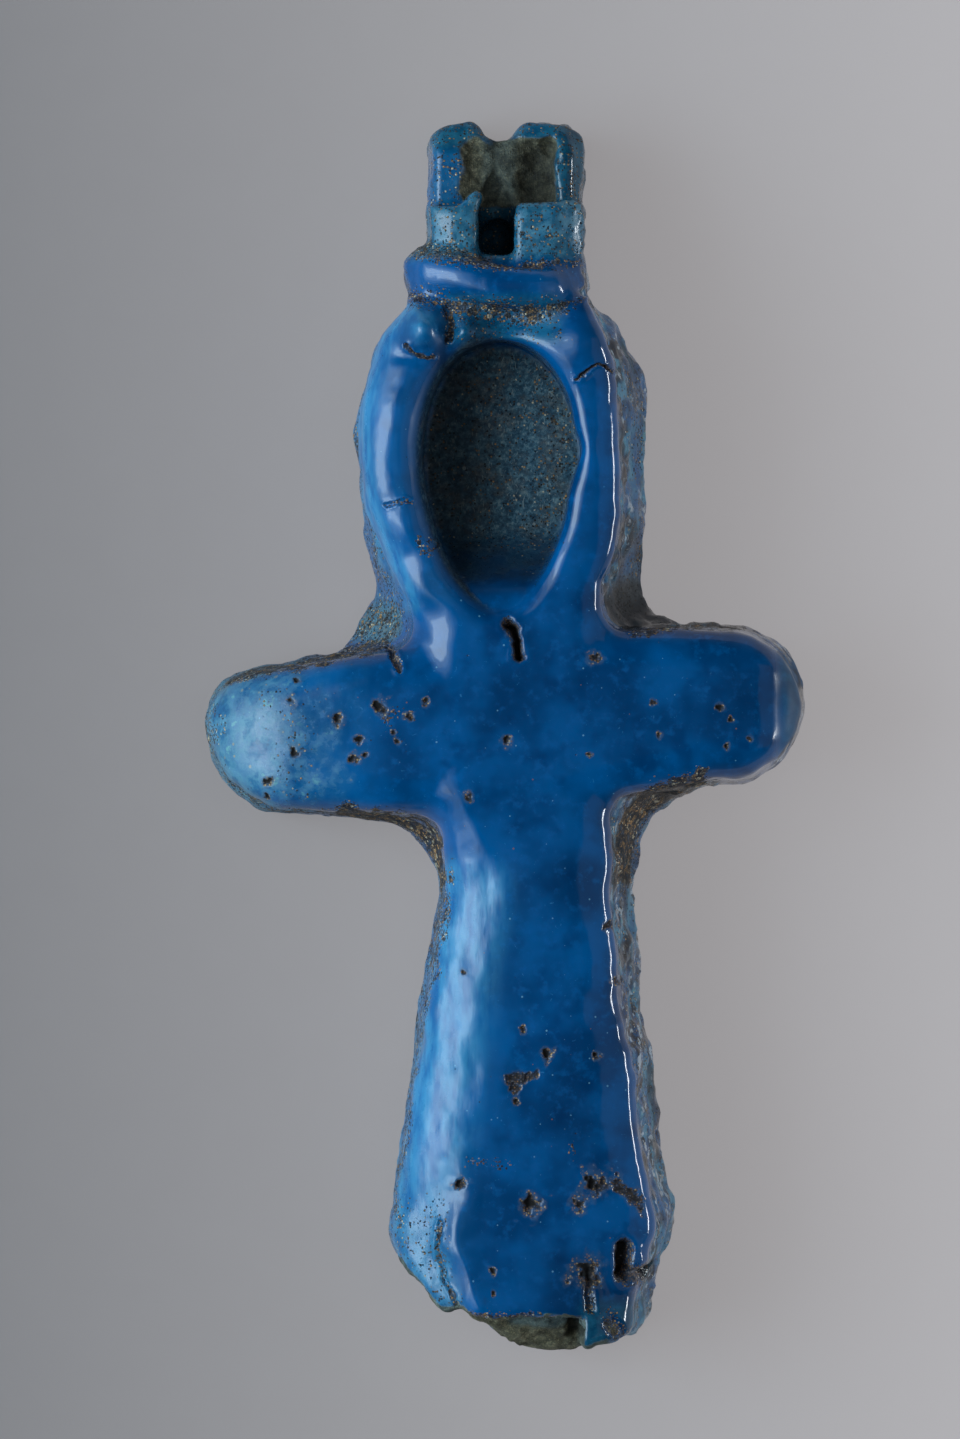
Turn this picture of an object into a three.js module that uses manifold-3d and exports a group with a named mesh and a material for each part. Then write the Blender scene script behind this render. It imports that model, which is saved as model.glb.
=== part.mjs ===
// Ankh amulet of blue glazed faience, moulded as one piece, lying on its flat back.
//
// Frame: +X to the right arm's end, +Y to the suspension lug, +Z out of the face.
// The origin is the middle of the outline, on the flat back. Sizes are in millimetres.
//
// The body has two levels. The plate is the low level, as wide as the whole outline:
// it shows as thin webs in the corners of the cross and as the sloping side walls.
// The relief stands on it, a little narrower: a looped bar round a blind oval recess,
// a crossbar with rounded ends, and a shaft that flares to a broken foot. A rolled
// collar wraps round the neck, and above it is what is left of the suspension lug.

import * as THREE from "three";
import { mergeVertices } from "three/addons/utils/BufferGeometryUtils.js";
import Module from "manifold-3d";

// ---- heights above the back ----
const WALL_TOP_Z = 3.7; // the walls flare out from here, where the relief's edge is,
const WALL_FOOT_Z = 0.9; // down to here, where the outline is widest
const CREST_Z = 4.8;
const ARM_END_DROP = 0.45;
const FOOT_DROP = 0.35;
const RECESS_FLOOR_Z = 2.2;
const BACK_BEVEL = 0.5; // rounding between the walls and the flat back

// ---- how the face rolls off towards its edges: width of the roll, slope at the edge ----
const SHAFT_ROLL = { left: [1.8, 0.97], right: [1.6, 0.52] };
const LOOP_ROLL = { left: [1.1, 1.05], right: [1.0, 0.5] };
const ARM_ROLL = { top: [1.2, 0.75], bottom: [1.1, 0.7], left: [2.3, 1.1], right: [1.3, 0.7] };

// ---- widths of the relief inside the plate's outline ----
const INSET_LEFT = 0.14;
const INSET_RIGHT = 0.5;
const INSET_ARM = 0.16;

// ---- blends ----
const TRIM = -0.03; // keeps the blended outline on the measured one
const PLATE_FILLET = { crossing: 1.5, lowerLeft: 2.1, lowerRight: 2.3 }; // wide corners of the low webs
const RELIEF_FILLET = 0.8;
const RIM = 0.45; // rounding of the relief's edges
const RECESS_EDGE = 0.75;

// ---- outline of the loop and neck: edge X at a height Y ----
const LOOP_TOP_Y = 12.2;
const LOOP_LEFT = [
  [2.2, -3.78], [3.0, -3.7], [3.75, -3.25], [4.8, -3.42], [6.0, -3.62],
  [7.4, -3.77], [8.6, -3.65], [9.6, -3.36], [10.3, -3.02], [10.9, -2.42], [12.2, -2.2],
];
const LOOP_RIGHT = [
  [2.2, 3.55], [3.75, 3.4], [4.8, 3.44], [6.0, 3.48], [7.3, 3.46],
  [8.4, 3.57], [9.4, 3.44], [10.2, 2.95], [10.65, 2.6], [10.9, 2.28], [11.4, 1.98], [12.2, 1.75],
];
// The looped bar's own outer edges draw in towards the crossing.
const BAR_LEFT = [
  [1.8, -2.2], [2.4, -2.2], [3.0, -2.35], [3.75, -2.6], [4.5, -2.9], [5.3, -3.25],
  [6.0, -3.48], [7.4, -3.64], [8.6, -3.52], [9.6, -3.24], [10.3, -2.9], [11.0, -2.35],
];
const BAR_RIGHT = [
  [1.8, 2.6], [2.6, 2.5], [3.3, 2.46], [3.9, 2.52], [4.8, 2.86],
  [6.0, 2.93], [7.3, 2.92], [8.6, 2.86], [9.6, 2.75], [10.3, 2.5], [11.0, 2.1],
];

// ---- blind oval recess inside the loop; its floor climbs out at the lower end ----
const RECESS = { x: -0.1, y: 6.72, halfWidth: 1.92, halfHeight: 3.3, egg: 0.17 };
const RAMP = { from: 5.4, to: 3.3, rise: 2.45 };

// ---- soft swellings and hollows of the looped bar: x, y, radii, rise ----
const SWELLINGS = [
  [-2.0, 10.4, 0.46, 0.6, 0.55], // knob at the upper left
  [-0.95, 10.3, 0.36, 0.4, 0.55],
  [2.2, 9.95, 0.75, 0.7, 0.3], // right shoulder
  [1.9, 7.3, 0.35, 0.35, 0.12],
  [-2.85, 7.9, 0.6, 0.9, 0.1],
  [-2.7, 5.0, 0.5, 0.7, 0.12],
  [0.1, 10.55, 1.1, 0.45, -0.5], // lower between them
];

// ---- crossbar: edge Y at a distance X ----
const ARM_LEFT_X = -7.66;
const ARM_RIGHT_X = 7.66;
const ARM_TOP = [[-7.7, 1.5], [-6.4, 1.75], [-5.2, 1.97], [-3.8, 2.26], [-1.9, 2.5], [2.4, 2.82], [4.6, 2.9], [6.4, 2.88], [7.7, 2.7]];
const ARM_BOTTOM = [[-7.7, -1.55], [-6.5, -1.8], [-5.0, -1.96], [-3.9, -2.02], [-1.9, -2.05], [2.4, -1.74], [4.2, -1.45], [5.4, -1.2], [6.4, -1.1], [7.7, -0.78]];
const ARM_CORNER = { topLeft: 1.2, bottomLeft: 2.3, topRight: 2.1, bottomRight: 1.9 };
const FOLD_X = 6.93; // shallow groove behind the right arm's end lip
const FOLD_DEPTH = 0.07;

// ---- shaft: edge X at a height Y ----
const SHAFT_LEFT = [
  [-13.6, -3.0], [-12.6, -2.96], [-11.7, -2.84], [-10.4, -2.62], [-9.2, -2.44],
  [-7.9, -2.26], [-6.6, -2.08], [-5.4, -1.88], [-4.2, -1.66], [-3.0, -1.64], [-1.5, -1.7],
];
const SHAFT_RIGHT = [
  [-15.4, 3.64], [-14.0, 3.78], [-13.5, 4.0], [-12.9, 4.2], [-12.2, 4.34], [-11.4, 4.16], [-10.4, 3.94],
  [-9.2, 3.82], [-8.0, 3.76], [-7.4, 3.56], [-6.6, 3.4], [-5.4, 3.38], [-4.0, 3.22], [-3.0, 3.25], [-1.5, 3.1],
];
// broken foot: edge Y at a distance X
const FOOT = [
  [-3.0, -12.9], [-2.5, -13.43], [-2.04, -13.9], [-1.64, -14.42], [-1.36, -14.5], [-1.08, -14.44],
  [-0.8, -14.66], [-0.5, -14.8], [-0.1, -15.12], [0.46, -15.42], [0.85, -15.58], [1.3, -15.6], [1.8, -15.5],
  [2.3, -15.36], [2.6, -15.24], [2.95, -15.17], [3.36, -15.1], [3.65, -14.9], [4.2, -14.3],
];
const FOOT_FACE_Y = -14.62; // where the glazed face stops above the broken core
const FOOT_BREAK = { left: -0.9, right: 1.95, floor: 2.5 };
// the glazed face's ragged left border above the foot, and the lower lump outside it
const RIDGE = [[-14.7, -0.78], [-13.9, -0.99], [-13.14, -1.22], [-12.56, -1.33], [-11.8, -1.2], [-11.4, -0.95], [-10.6, -0.75]];
const LUMP_DROP = 0.42;

// ---- collar: a roll that wraps from side to side ----
const COLLAR_R = [0.64, 0.54]; // at its left and its right end
const COLLAR_PATH = [
  [-1.84, 11.78, 1.4], [-1.9, 11.84, 3.2], [-1.5, 11.72, 4.0], [-0.2, 11.42, 4.5],
  [0.85, 11.36, 4.4], [1.42, 11.5, 3.5], [1.46, 11.5, 1.4],
];

// ---- suspension lug: back plate, two front stubs, vertical bore ----
const LUG = { left: -1.9, right: 1.93, bottom: 11.4, top: 15.6, corner: 0.85 };
const STUB_Z = 4.25;
const STUB_TOP_Y = 13.5;
const BORE = { x: -0.19, z: 2.75, r: 0.43 };
const PIT = { x: -0.12, y: 12.65, z: 2.1, r: 0.5 };
const NOTCH = { x: -0.12, y: 15.68, r: 0.54 };

// ---- facet sizes ----
const CELL = 0.45; // across the body
const CELL_FINE = 0.31; // along the lug and collar
const CELL_Z = 0.42;

// Smooth curve through named stations: a cubic with the neighbours' slopes.
function through(stations) {
  const n = stations.length;
  const slope = stations.map((s, i) => {
    const a = stations[Math.max(0, i - 1)], b = stations[Math.min(n - 1, i + 1)];
    return (b[1] - a[1]) / (b[0] - a[0]);
  });
  return (v) => {
    if (v <= stations[0][0]) return stations[0][1];
    if (v >= stations[n - 1][0]) return stations[n - 1][1];
    let i = 0;
    while (v > stations[i + 1][0]) i++;
    const [a, fa] = stations[i], [b, fb] = stations[i + 1];
    const h = b - a, t = (v - a) / h, t2 = t * t, t3 = t2 * t;
    return (2 * t3 - 3 * t2 + 1) * fa + (t3 - 2 * t2 + t) * h * slope[i] + (3 * t2 - 2 * t3) * fb + (t3 - t2) * h * slope[i + 1];
  };
}

// Union and cut with a rounded corner of about the given width.
function join(a, b, k) {
  const h = Math.max(k - Math.abs(a - b), 0) / k;
  return Math.min(a, b) - (h * h * k) / 4;
}
function cut(a, b, k) {
  return -join(-a, -b, k);
}
// 0 at a and 1 at b, smooth between them, whichever is the larger.
const step = (a, b, v) => {
  const t = THREE.MathUtils.clamp((v - a) / (b - a), 0, 1);
  return t * t * (3 - 2 * t);
};
const mix = THREE.MathUtils.lerp;

const loopLeft = through(LOOP_LEFT), loopRight = through(LOOP_RIGHT);
const barLeft = through(BAR_LEFT), barRight = through(BAR_RIGHT);
const armTop = through(ARM_TOP), armBottom = through(ARM_BOTTOM);
const shaftLeft = through(SHAFT_LEFT), shaftRight = through(SHAFT_RIGHT);
const foot = through(FOOT), ridge = through(RIDGE);

// Distance outside a band between two edges, negative inside it.
const band = (v, low, high) => Math.max(low - v, v - high);

function armPlan(x, y, inset) {
  const top = y - armTop(x) + inset, bottom = armBottom(x) + inset - y;
  const left = ARM_LEFT_X + inset - x, right = x - ARM_RIGHT_X + inset;
  const upper = x < 0 ? cut(top, left, ARM_CORNER.topLeft) : cut(top, right, ARM_CORNER.topRight);
  const lower = x < 0 ? cut(bottom, left, ARM_CORNER.bottomLeft) : cut(bottom, right, ARM_CORNER.bottomRight);
  return Math.max(upper, lower);
}

function shaftPlan(x, y, left, right) {
  const side = Math.max(band(x, shaftLeft(y) + left, shaftRight(y) - right), y - 1.0);
  return cut(side, foot(x) - y, 0.5);
}

function platePlan(x, y) {
  const loop = Math.max(band(x, loopLeft(y), loopRight(y)), band(y, 0, LOOP_TOP_Y));
  const arms = armPlan(x, y, 0);
  return join(join(loop, arms, x < 0 ? 0.8 : PLATE_FILLET.crossing), shaftPlan(x, y, 0, 0), x < 0 ? PLATE_FILLET.lowerLeft : PLATE_FILLET.lowerRight);
}

function reliefPlan(x, y) {
  const loop = Math.max(band(x, barLeft(y), barRight(y)), band(y, 0, LOOP_TOP_Y - 1.1));
  const arms = armPlan(x, y, INSET_ARM);
  return join(join(loop, arms, RELIEF_FILLET), shaftPlan(x, y, INSET_LEFT, INSET_RIGHT), RELIEF_FILLET);
}

// Distance outside the oval recess in plan.
function recessPlan(x, y) {
  const dy = (y - RECESS.y) / RECESS.halfHeight;
  const w = RECESS.halfWidth * (1 + RECESS.egg * dy);
  const r = Math.hypot((x - RECESS.x) / w, dy);
  return (r - 1) * (r > 1e-6 ? Math.hypot(x - RECESS.x, y - RECESS.y) / r : RECESS.halfWidth);
}

// Drop below the crest at a distance inside an edge.
const sag = (inner, [width, slope]) => (0.5 * slope * Math.max(width - inner, 0) ** 2) / width;

// Height of the face, a puffed cushion inside the relief's outline, before the recess is cut.
function faceHeight(x, y) {
  const crest = CREST_Z - FOOT_DROP * step(-2, -13, y);
  // the roll of the shaft's left edge is narrow where it leaves the crossing
  const width = mix(0.6, SHAFT_ROLL.left[0], step(-1.4, -3.8, y));
  const shaft = crest - sag(x - shaftLeft(y) - INSET_LEFT, [width, SHAFT_ROLL.left[1]]) - sag(shaftRight(y) - INSET_RIGHT - x, SHAFT_ROLL.right);
  const side = step(-1.0, 1.0, x - (barLeft(y) + barRight(y)) / 2);
  const edge = -Math.max(band(x, barLeft(y), barRight(y)), y - LOOP_TOP_Y + 1.1);
  const loop = crest - mix(sag(edge, LOOP_ROLL.left), sag(edge, LOOP_ROLL.right), side);
  const stem = mix(shaft, loop, step(0.2, 2.6, y));
  let arm = CREST_Z - ARM_END_DROP * step(2.5, 7.4, Math.abs(x));
  arm -= sag(armTop(x) - INSET_ARM - y, ARM_ROLL.top) + sag(y - armBottom(x) - INSET_ARM, ARM_ROLL.bottom);
  arm -= sag(x - ARM_LEFT_X - INSET_ARM, ARM_ROLL.left) + sag(ARM_RIGHT_X - INSET_ARM - x, ARM_ROLL.right);
  let h = -join(-stem, -arm, mix(0.1, 0.25, step(0.7, 1.5, Math.abs(y - 0.3))) + 0.17 * step(0.2, -1.2, x) * step(-1.0, -2.0, y));
  h -= FOLD_DEPTH * Math.exp(-(((x - FOLD_X) / 0.17) ** 2)) * step(2.9, 2.3, Math.abs(y - 0.9) + 0.6);
  for (const [cx, cy, rx, ry, rise] of SWELLINGS) h += rise * Math.exp(-(((x - cx) / rx) ** 2) - ((y - cy) / ry) ** 2);
  // the foot's ragged lip and the lower lump on its left
  const low = step(-10.7, -13.0, y), border = ridge(y);
  return h + low * (0.1 * Math.exp(-(((x - border - 0.2) / 0.3) ** 2)) - LUMP_DROP * step(border + 0.25, border - 0.7, x));
}

// Rounding of the wall's foot into the flat back.
const bevel = (z) => (z < BACK_BEVEL ? BACK_BEVEL - Math.sqrt(Math.max(0, BACK_BEVEL ** 2 - (BACK_BEVEL - z) ** 2)) : 0);

const collarCurve = new THREE.CatmullRomCurve3(COLLAR_PATH.map((p) => new THREE.Vector3(...p)));
const collarPoints = collarCurve.getSpacedPoints(28);
const near = new THREE.Vector3(), at = new THREE.Vector3(), leg = new THREE.Line3();
function collar(x, y, z) {
  at.set(x, y, z);
  let d = Infinity;
  for (let i = 1; i < collarPoints.length; i++) {
    leg.set(collarPoints[i - 1], collarPoints[i]).closestPointToPoint(at, true, near);
    const t = (i - 0.5) / (collarPoints.length - 1);
    d = Math.min(d, near.distanceTo(at) - mix(COLLAR_R[0], COLLAR_R[1], step(0.2, 0.6, t)));
  }
  return d;
}

// Level of the lug's back plate, broken open between its two glazed sides.
function lugBackHeight(x, y) {
  const broken = step(-1.15, -0.85, x) * step(1.45, 1.1, x) * step(15.25, 14.85, y);
  const level = mix(3.1, mix(2.85, 2.6, step(0.1, 0.8, x)), broken);
  return level - 0.45 * step(14.7, 15.6, y) - 2.5 * Math.max(0, Math.abs(x) - 1.55) ** 2;
}

function lug(x, y, z) {
  const plan = Math.max(band(x, LUG.left, LUG.right), band(y, LUG.bottom, LUG.top));
  const corner = cut(band(x, LUG.left, LUG.right), y - LUG.top, LUG.corner);
  const back = cut(Math.max(plan, corner), z - lugBackHeight(x, y), 0.25);
  const stubTop = STUB_TOP_Y + 0.36 * step(-1.25, -0.68, x) * step(0.0, -0.5, x);
  const stubFace = STUB_Z - 0.3 * step(1.2, 1.9, Math.abs(x)) - 0.12 * (y - 12.6) - 0.12 * step(13.0, 12.4, y);
  const stubs = cut(Math.max(plan, y - stubTop), z - stubFace, 0.3);
  let d = join(back, stubs, 0.15);
  const groove = Math.hypot(x - BORE.x, Math.max(0, BORE.z - z)); // open to the front
  d = cut(d, BORE.r - groove - 0.55 * step(13.2, 14.9, y), 0.3);
  d = cut(d, NOTCH.r - Math.hypot(x - NOTCH.x, y - NOTCH.y), 0.25);
  return cut(d, PIT.r - Math.hypot(x - PIT.x, y - PIT.y, 0.7 * (z - PIT.z)), 0.3);
}

// The whole amulet: negative inside, positive outside.
function amulet(x, y, z) {
  // the walls flare out from the relief's edge to the foot of the plate's outline
  const down = THREE.MathUtils.clamp((WALL_TOP_Z - z) / (WALL_TOP_Z - WALL_FOOT_Z), 0, 1) ** 1.7;
  const wall = mix(reliefPlan(x, y), platePlan(x, y) + TRIM, down) + bevel(z);
  let d = cut(wall, (z - faceHeight(x, y)) * 0.85, RIM);
  const floor = RECESS_FLOOR_Z + RAMP.rise * step(RAMP.from, RAMP.to, y);
  d = cut(d, -Math.max(recessPlan(x, y), (floor - z) * 0.8), RECESS_EDGE);
  const neck = cut(Math.max(band(x, -2.05, 1.7), band(y, 10.4, 12.3)) + bevel(z), z - 4.0, 0.55);
  d = join(d, neck, 0.8);
  d = join(d, collar(x, y, z), 0.28);
  d = join(d, Math.max(lug(x, y, z), y < LUG.bottom ? 1 : -9) + (y > 12 ? bevel(z) : 0), 0.22);
  // broken core below the glazed face
  const core = Math.max(y - FOOT_FACE_Y, band(x, FOOT_BREAK.left, FOOT_BREAK.right));
  const slope = FOOT_BREAK.floor + 1.1 * (y - FOOT_FACE_Y + 0.45) - z;
  return cut(d, -Math.max(core, slope), 0.35);
}

// Grid lines from a to b whose spacing follows the given step.
function lines(a, b, size) {
  const out = [a];
  while (out[out.length - 1] < b) out.push(out[out.length - 1] + size(out[out.length - 1]));
  return out;
}

// A grid cell's corners, numbered x + 2y + 4z, its edges by their two corners, and
// its faces by their corners in a ring.
const EDGES = [[0, 1], [2, 3], [4, 5], [6, 7], [0, 2], [1, 3], [4, 6], [5, 7], [0, 4], [1, 5], [2, 6], [3, 7]];
const FACES = [[0, 1, 3, 2], [4, 5, 7, 6], [0, 1, 5, 4], [2, 3, 7, 6], [0, 2, 6, 4], [1, 3, 7, 5]];
const edgeOf = (a, b) => EDGES.findIndex(([c, d]) => (a === c && b === d) || (a === d && b === c));
const RINGS = FACES.map((ring) => ring.map((c, i) => ({ corner: c, before: edgeOf(ring[(i + 3) % 4], c), after: edgeOf(c, ring[(i + 1) % 4]) })));

// Closed skin of a solid given as a field: in each grid cell one vertex for each
// sheet of the surface that passes through it, and a quad round each grid edge that
// the surface crosses.
function skin(field, xs, ys, zs) {
  const nx = xs.length, ny = ys.length, nz = zs.length;
  const id = (i, j, k) => (k * ny + j) * nx + i;
  const value = new Float64Array(nx * ny * nz);
  for (let k = 0; k < nz; k++)
    for (let j = 0; j < ny; j++)
      for (let i = 0; i < nx; i++) value[id(i, j, k)] = field(xs[i], ys[j], zs[k]);
  const position = [], index = [], sheets = new Map();
  for (let k = 0; k < nz - 1; k++)
    for (let j = 0; j < ny - 1; j++)
      for (let i = 0; i < nx - 1; i++) {
        const f = [0, 1, 2, 3, 4, 5, 6, 7].map((c) => value[id(i + (c & 1), j + ((c >> 1) & 1), k + (c >> 2))]);
        const crossed = EDGES.map(([a, b]) => f[a] < 0 !== f[b] < 0);
        if (!crossed.includes(true)) continue;
        const sheet = EDGES.map((_, e) => e);
        const merge = (a, b) => {
          const from = sheet[a], to = sheet[b];
          sheet.forEach((s, e) => { if (s === from) sheet[e] = to; });
        };
        for (const ring of RINGS) {
          const on = ring.filter((r) => crossed[r.after]).map((r) => r.after);
          if (on.length === 2) merge(on[0], on[1]);
          else if (on.length === 4) for (const r of ring) if (f[r.corner] < 0) merge(r.before, r.after);
        }
        const cell = new Int32Array(12).fill(-1);
        for (const s of new Set(sheet.filter((_, e) => crossed[e]))) {
          let n = 0, px = 0, py = 0, pz = 0;
          EDGES.forEach(([a, b], e) => {
            if (!crossed[e] || sheet[e] !== s) return;
            const t = f[a] / (f[a] - f[b]);
            px += mix(xs[i + (a & 1)], xs[i + (b & 1)], t);
            py += mix(ys[j + ((a >> 1) & 1)], ys[j + ((b >> 1) & 1)], t);
            pz += mix(zs[k + (a >> 2)], zs[k + (b >> 2)], t);
            cell[e] = position.length / 3;
            n++;
          });
          position.push(px / n, py / n, pz / n);
        }
        sheets.set(id(i, j, k), cell);
      }
  const quad = (a, b, c, d, flip) => (flip ? index.push(a, c, b, a, d, c) : index.push(a, b, c, a, c, d));
  for (let k = 1; k < nz - 1; k++)
    for (let j = 1; j < ny - 1; j++)
      for (let i = 1; i < nx - 1; i++) {
        const inside = value[id(i, j, k)] < 0;
        const v = (a, b, c, e) => sheets.get(id(i - a, j - b, k - c))[e];
        if (inside !== value[id(i + 1, j, k)] < 0) quad(v(0, 1, 1, 3), v(0, 0, 1, 2), v(0, 0, 0, 0), v(0, 1, 0, 1), !inside);
        if (inside !== value[id(i, j + 1, k)] < 0) quad(v(1, 0, 1, 7), v(1, 0, 0, 5), v(0, 0, 0, 4), v(0, 0, 1, 6), !inside);
        if (inside !== value[id(i, j, k + 1)] < 0) quad(v(1, 1, 0, 11), v(0, 1, 0, 10), v(0, 0, 0, 8), v(1, 0, 0, 9), !inside);
      }
  return new THREE.BufferGeometry()
    .setAttribute("position", new THREE.Float32BufferAttribute(position, 3))
    .setIndex(index);
}

// Evens out a skin: each vertex moves towards the middle of its neighbours and then
// back to the surface. Near the back it moves only sideways, within its own layer.
function even(geometry, field, rounds) {
  const p = geometry.getAttribute("position").array, index = geometry.index.array;
  const n = p.length / 3, reach = 0.2 * CELL, e = 1e-2;
  const f = (v) => field(v.x, v.y, v.z);
  const from = new THREE.Vector3(), to = new THREE.Vector3(), slope = new THREE.Vector3(), a = new THREE.Vector3(), b = new THREE.Vector3();
  for (let round = 0; round <= rounds; round++) {
    const last = round === rounds;
    const sum = new Float64Array(3 * n), count = new Float64Array(n);
    for (let t = 0; t < index.length; t += 3)
      for (let c = 0; c < 3; c++) {
        const u = index[t + c], v = index[t + ((c + 1) % 3)];
        for (let q = 0; q < 3; q++) sum[3 * u + q] += p[3 * v + q];
        count[u]++;
      }
    const next = p.slice();
    for (let i = 0; i < n; i++) {
      from.fromArray(p, 3 * i);
      const low = from.z < CELL_Z;
      to.fromArray(sum, 3 * i).divideScalar(count[i]).sub(from).multiplyScalar(last ? 0.2 : 0.5);
      to.add(from);
      if (low) to.z = from.z;
      for (let turn = 0; turn < 3 && !last; turn++) {
        ["x", "y", "z"].forEach((axis) => {
          a.copy(to)[axis] += e;
          b.copy(to)[axis] -= e;
          slope[axis] = low && axis === "z" ? 0 : (f(a) - f(b)) / (2 * e);
        });
        to.addScaledVector(slope, THREE.MathUtils.clamp(-f(to) / Math.max(slope.lengthSq(), 0.25), -reach, reach));
      }
      if (to.distanceTo(from) < 1.5 * CELL) to.toArray(next, 3 * i);
    }
    p.set(next);
  }
  return geometry;
}

const wasm = await Module();
wasm.setup();

function solid(geometry) {
  return new wasm.Manifold(
    new wasm.Mesh({
      numProp: 3,
      vertProperties: new Float32Array(geometry.getAttribute("position").array),
      triVerts: new Uint32Array(geometry.index.array),
    }),
  );
}

function geometryOf(made) {
  const m = made.getMesh();
  const g = new THREE.BufferGeometry()
    .setAttribute("position", new THREE.Float32BufferAttribute(m.vertProperties, 3))
    .setIndex([...m.triVerts]);
  g.computeVertexNormals();
  return g;
}

// The skin runs on below the back and is cut off flat there.
const below = (x, y, z) => amulet(x, y, Math.max(z, 0)) + (z < -3.5 * CELL_Z ? 5 : 0);
const raw = even(
  skin(
    below,
    lines(-8.5, 8.5, () => CELL),
    lines(-16.4, 16.4, (y) => (y > 11 ? CELL_FINE : CELL)),
    lines(-5 * CELL_Z, 6.2, () => CELL_Z),
  ),
  (x, y, z) => amulet(x, y, Math.max(z, 0)),
  4,
);
const box = new THREE.BoxGeometry(40, 40, 20).translate(0, 0, 10);
box.deleteAttribute("normal");
box.deleteAttribute("uv");
const body = solid(raw).intersect(solid(mergeVertices(box)));

const faience = new THREE.MeshStandardMaterial({ color: 0x0a5f9e, roughness: 0.22, metalness: 0 });
const amuletMesh = new THREE.Mesh(geometryOf(body), faience);
amuletMesh.name = "ankh_amulet";

const part = new THREE.Group();
part.add(amuletMesh);

export default part;
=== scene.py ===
import math

import bpy
import numpy as np
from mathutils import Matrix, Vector


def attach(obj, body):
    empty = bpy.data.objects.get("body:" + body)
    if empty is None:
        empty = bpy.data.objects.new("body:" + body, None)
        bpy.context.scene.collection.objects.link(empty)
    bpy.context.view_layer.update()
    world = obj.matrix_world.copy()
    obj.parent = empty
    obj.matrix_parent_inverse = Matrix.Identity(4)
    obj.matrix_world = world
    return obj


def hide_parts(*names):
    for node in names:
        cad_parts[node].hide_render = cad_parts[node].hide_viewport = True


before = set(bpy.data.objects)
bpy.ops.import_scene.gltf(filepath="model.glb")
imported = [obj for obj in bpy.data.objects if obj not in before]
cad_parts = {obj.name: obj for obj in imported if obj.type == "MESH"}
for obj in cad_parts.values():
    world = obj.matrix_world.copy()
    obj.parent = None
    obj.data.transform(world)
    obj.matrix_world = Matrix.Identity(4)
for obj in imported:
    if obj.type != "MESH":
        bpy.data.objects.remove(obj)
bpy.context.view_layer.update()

# The amulet is worked out in millimetres, on its flat back, +Y to the lug and +Z out
# of the face, as a field that is negative inside. It is skinned finely, then small
# relief is pushed in or out along the surface, and masks for the glaze go with it.
MM = 0.001

# ---- heights above the back ----
WALL_TOP_Z = 3.7
WALL_FOOT_Z = 0.9
CREST_Z = 4.8
ARM_END_DROP = 0.45
FOOT_DROP = 0.35
RECESS_FLOOR_Z = 2.2
BACK_BEVEL = 0.5

# ---- how the face rolls off towards its edges: width of the roll, slope at the edge ----
SHAFT_ROLL = dict(left=(1.8, 0.97), right=(1.6, 0.52))
LOOP_ROLL = dict(left=(1.1, 1.05), right=(1.0, 0.5))
ARM_ROLL = dict(top=(1.2, 0.75), bottom=(1.1, 0.7), left=(2.3, 1.1), right=(1.3, 0.7))

# ---- insets and blends ----
INSET_LEFT = 0.14
INSET_RIGHT = 0.5
INSET_ARM = 0.16
PLATE_FILLET = dict(crossing=1.5, lower_left=2.1, lower_right=2.3)
RELIEF_FILLET = 0.8

# ---- outline stations ----
LOOP_TOP_Y = 12.2
LOOP_LEFT = [
    (2.2, -3.78), (3.0, -3.7), (3.75, -3.25), (4.8, -3.42), (6.0, -3.62),
    (7.4, -3.77), (8.6, -3.65), (9.6, -3.36), (10.3, -3.02), (10.9, -2.42), (12.2, -2.2),
]
LOOP_RIGHT = [
    (2.2, 3.55), (3.75, 3.4), (4.8, 3.44), (6.0, 3.48), (7.3, 3.46), (8.4, 3.57),
    (9.4, 3.44), (10.2, 2.95), (10.65, 2.6), (10.9, 2.28), (11.4, 1.98), (12.2, 1.75),
]
BAR_LEFT = [
    (1.8, -2.2), (2.4, -2.2), (3.0, -2.35), (3.75, -2.6), (4.5, -2.9), (5.3, -3.25),
    (6.0, -3.48), (7.4, -3.64), (8.6, -3.52), (9.6, -3.24), (10.3, -2.9), (11.0, -2.35),
]
BAR_RIGHT = [
    (1.8, 2.6), (2.6, 2.5), (3.3, 2.46), (3.9, 2.52), (4.8, 2.86),
    (6.0, 2.93), (7.3, 2.92), (8.6, 2.86), (9.6, 2.75), (10.3, 2.5), (11.0, 2.1),
]
RECESS = dict(x=-0.1, y=6.72, half_width=1.92, half_height=3.3, egg=0.17)
RAMP = dict(start=5.4, end=3.3, rise=2.45)
# soft swellings and hollows of the looped bar: x, y, radii, rise
SWELLINGS = [
    (-2.0, 10.36, 0.5, 0.54, 0.5), (-1.4, 10.3, 0.22, 0.6, -0.3), (-2.2, 9.62, 0.6, 0.2, -0.16), (-0.92, 10.3, 0.4, 0.42, 0.42), (2.2, 9.95, 0.75, 0.7, 0.3),
    (1.9, 7.3, 0.35, 0.35, 0.12), (-2.85, 7.9, 0.6, 0.9, 0.1), (-2.7, 5.0, 0.5, 0.7, 0.12), (0.1, 10.55, 1.1, 0.45, -0.5),
]
ARM_LEFT_X = -7.66
ARM_RIGHT_X = 7.66
ARM_TOP = [(-7.7, 1.5), (-6.4, 1.75), (-5.2, 1.97), (-3.8, 2.26), (-1.9, 2.5), (2.4, 2.82), (4.6, 2.9), (6.4, 2.88), (7.7, 2.7)]
ARM_BOTTOM = [
    (-7.7, -1.55), (-6.5, -1.8), (-5.0, -1.96), (-3.9, -2.02), (-1.9, -2.05), (2.4, -1.74),
    (4.2, -1.45), (5.4, -1.2), (6.4, -1.1), (7.7, -0.78),
]
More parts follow.
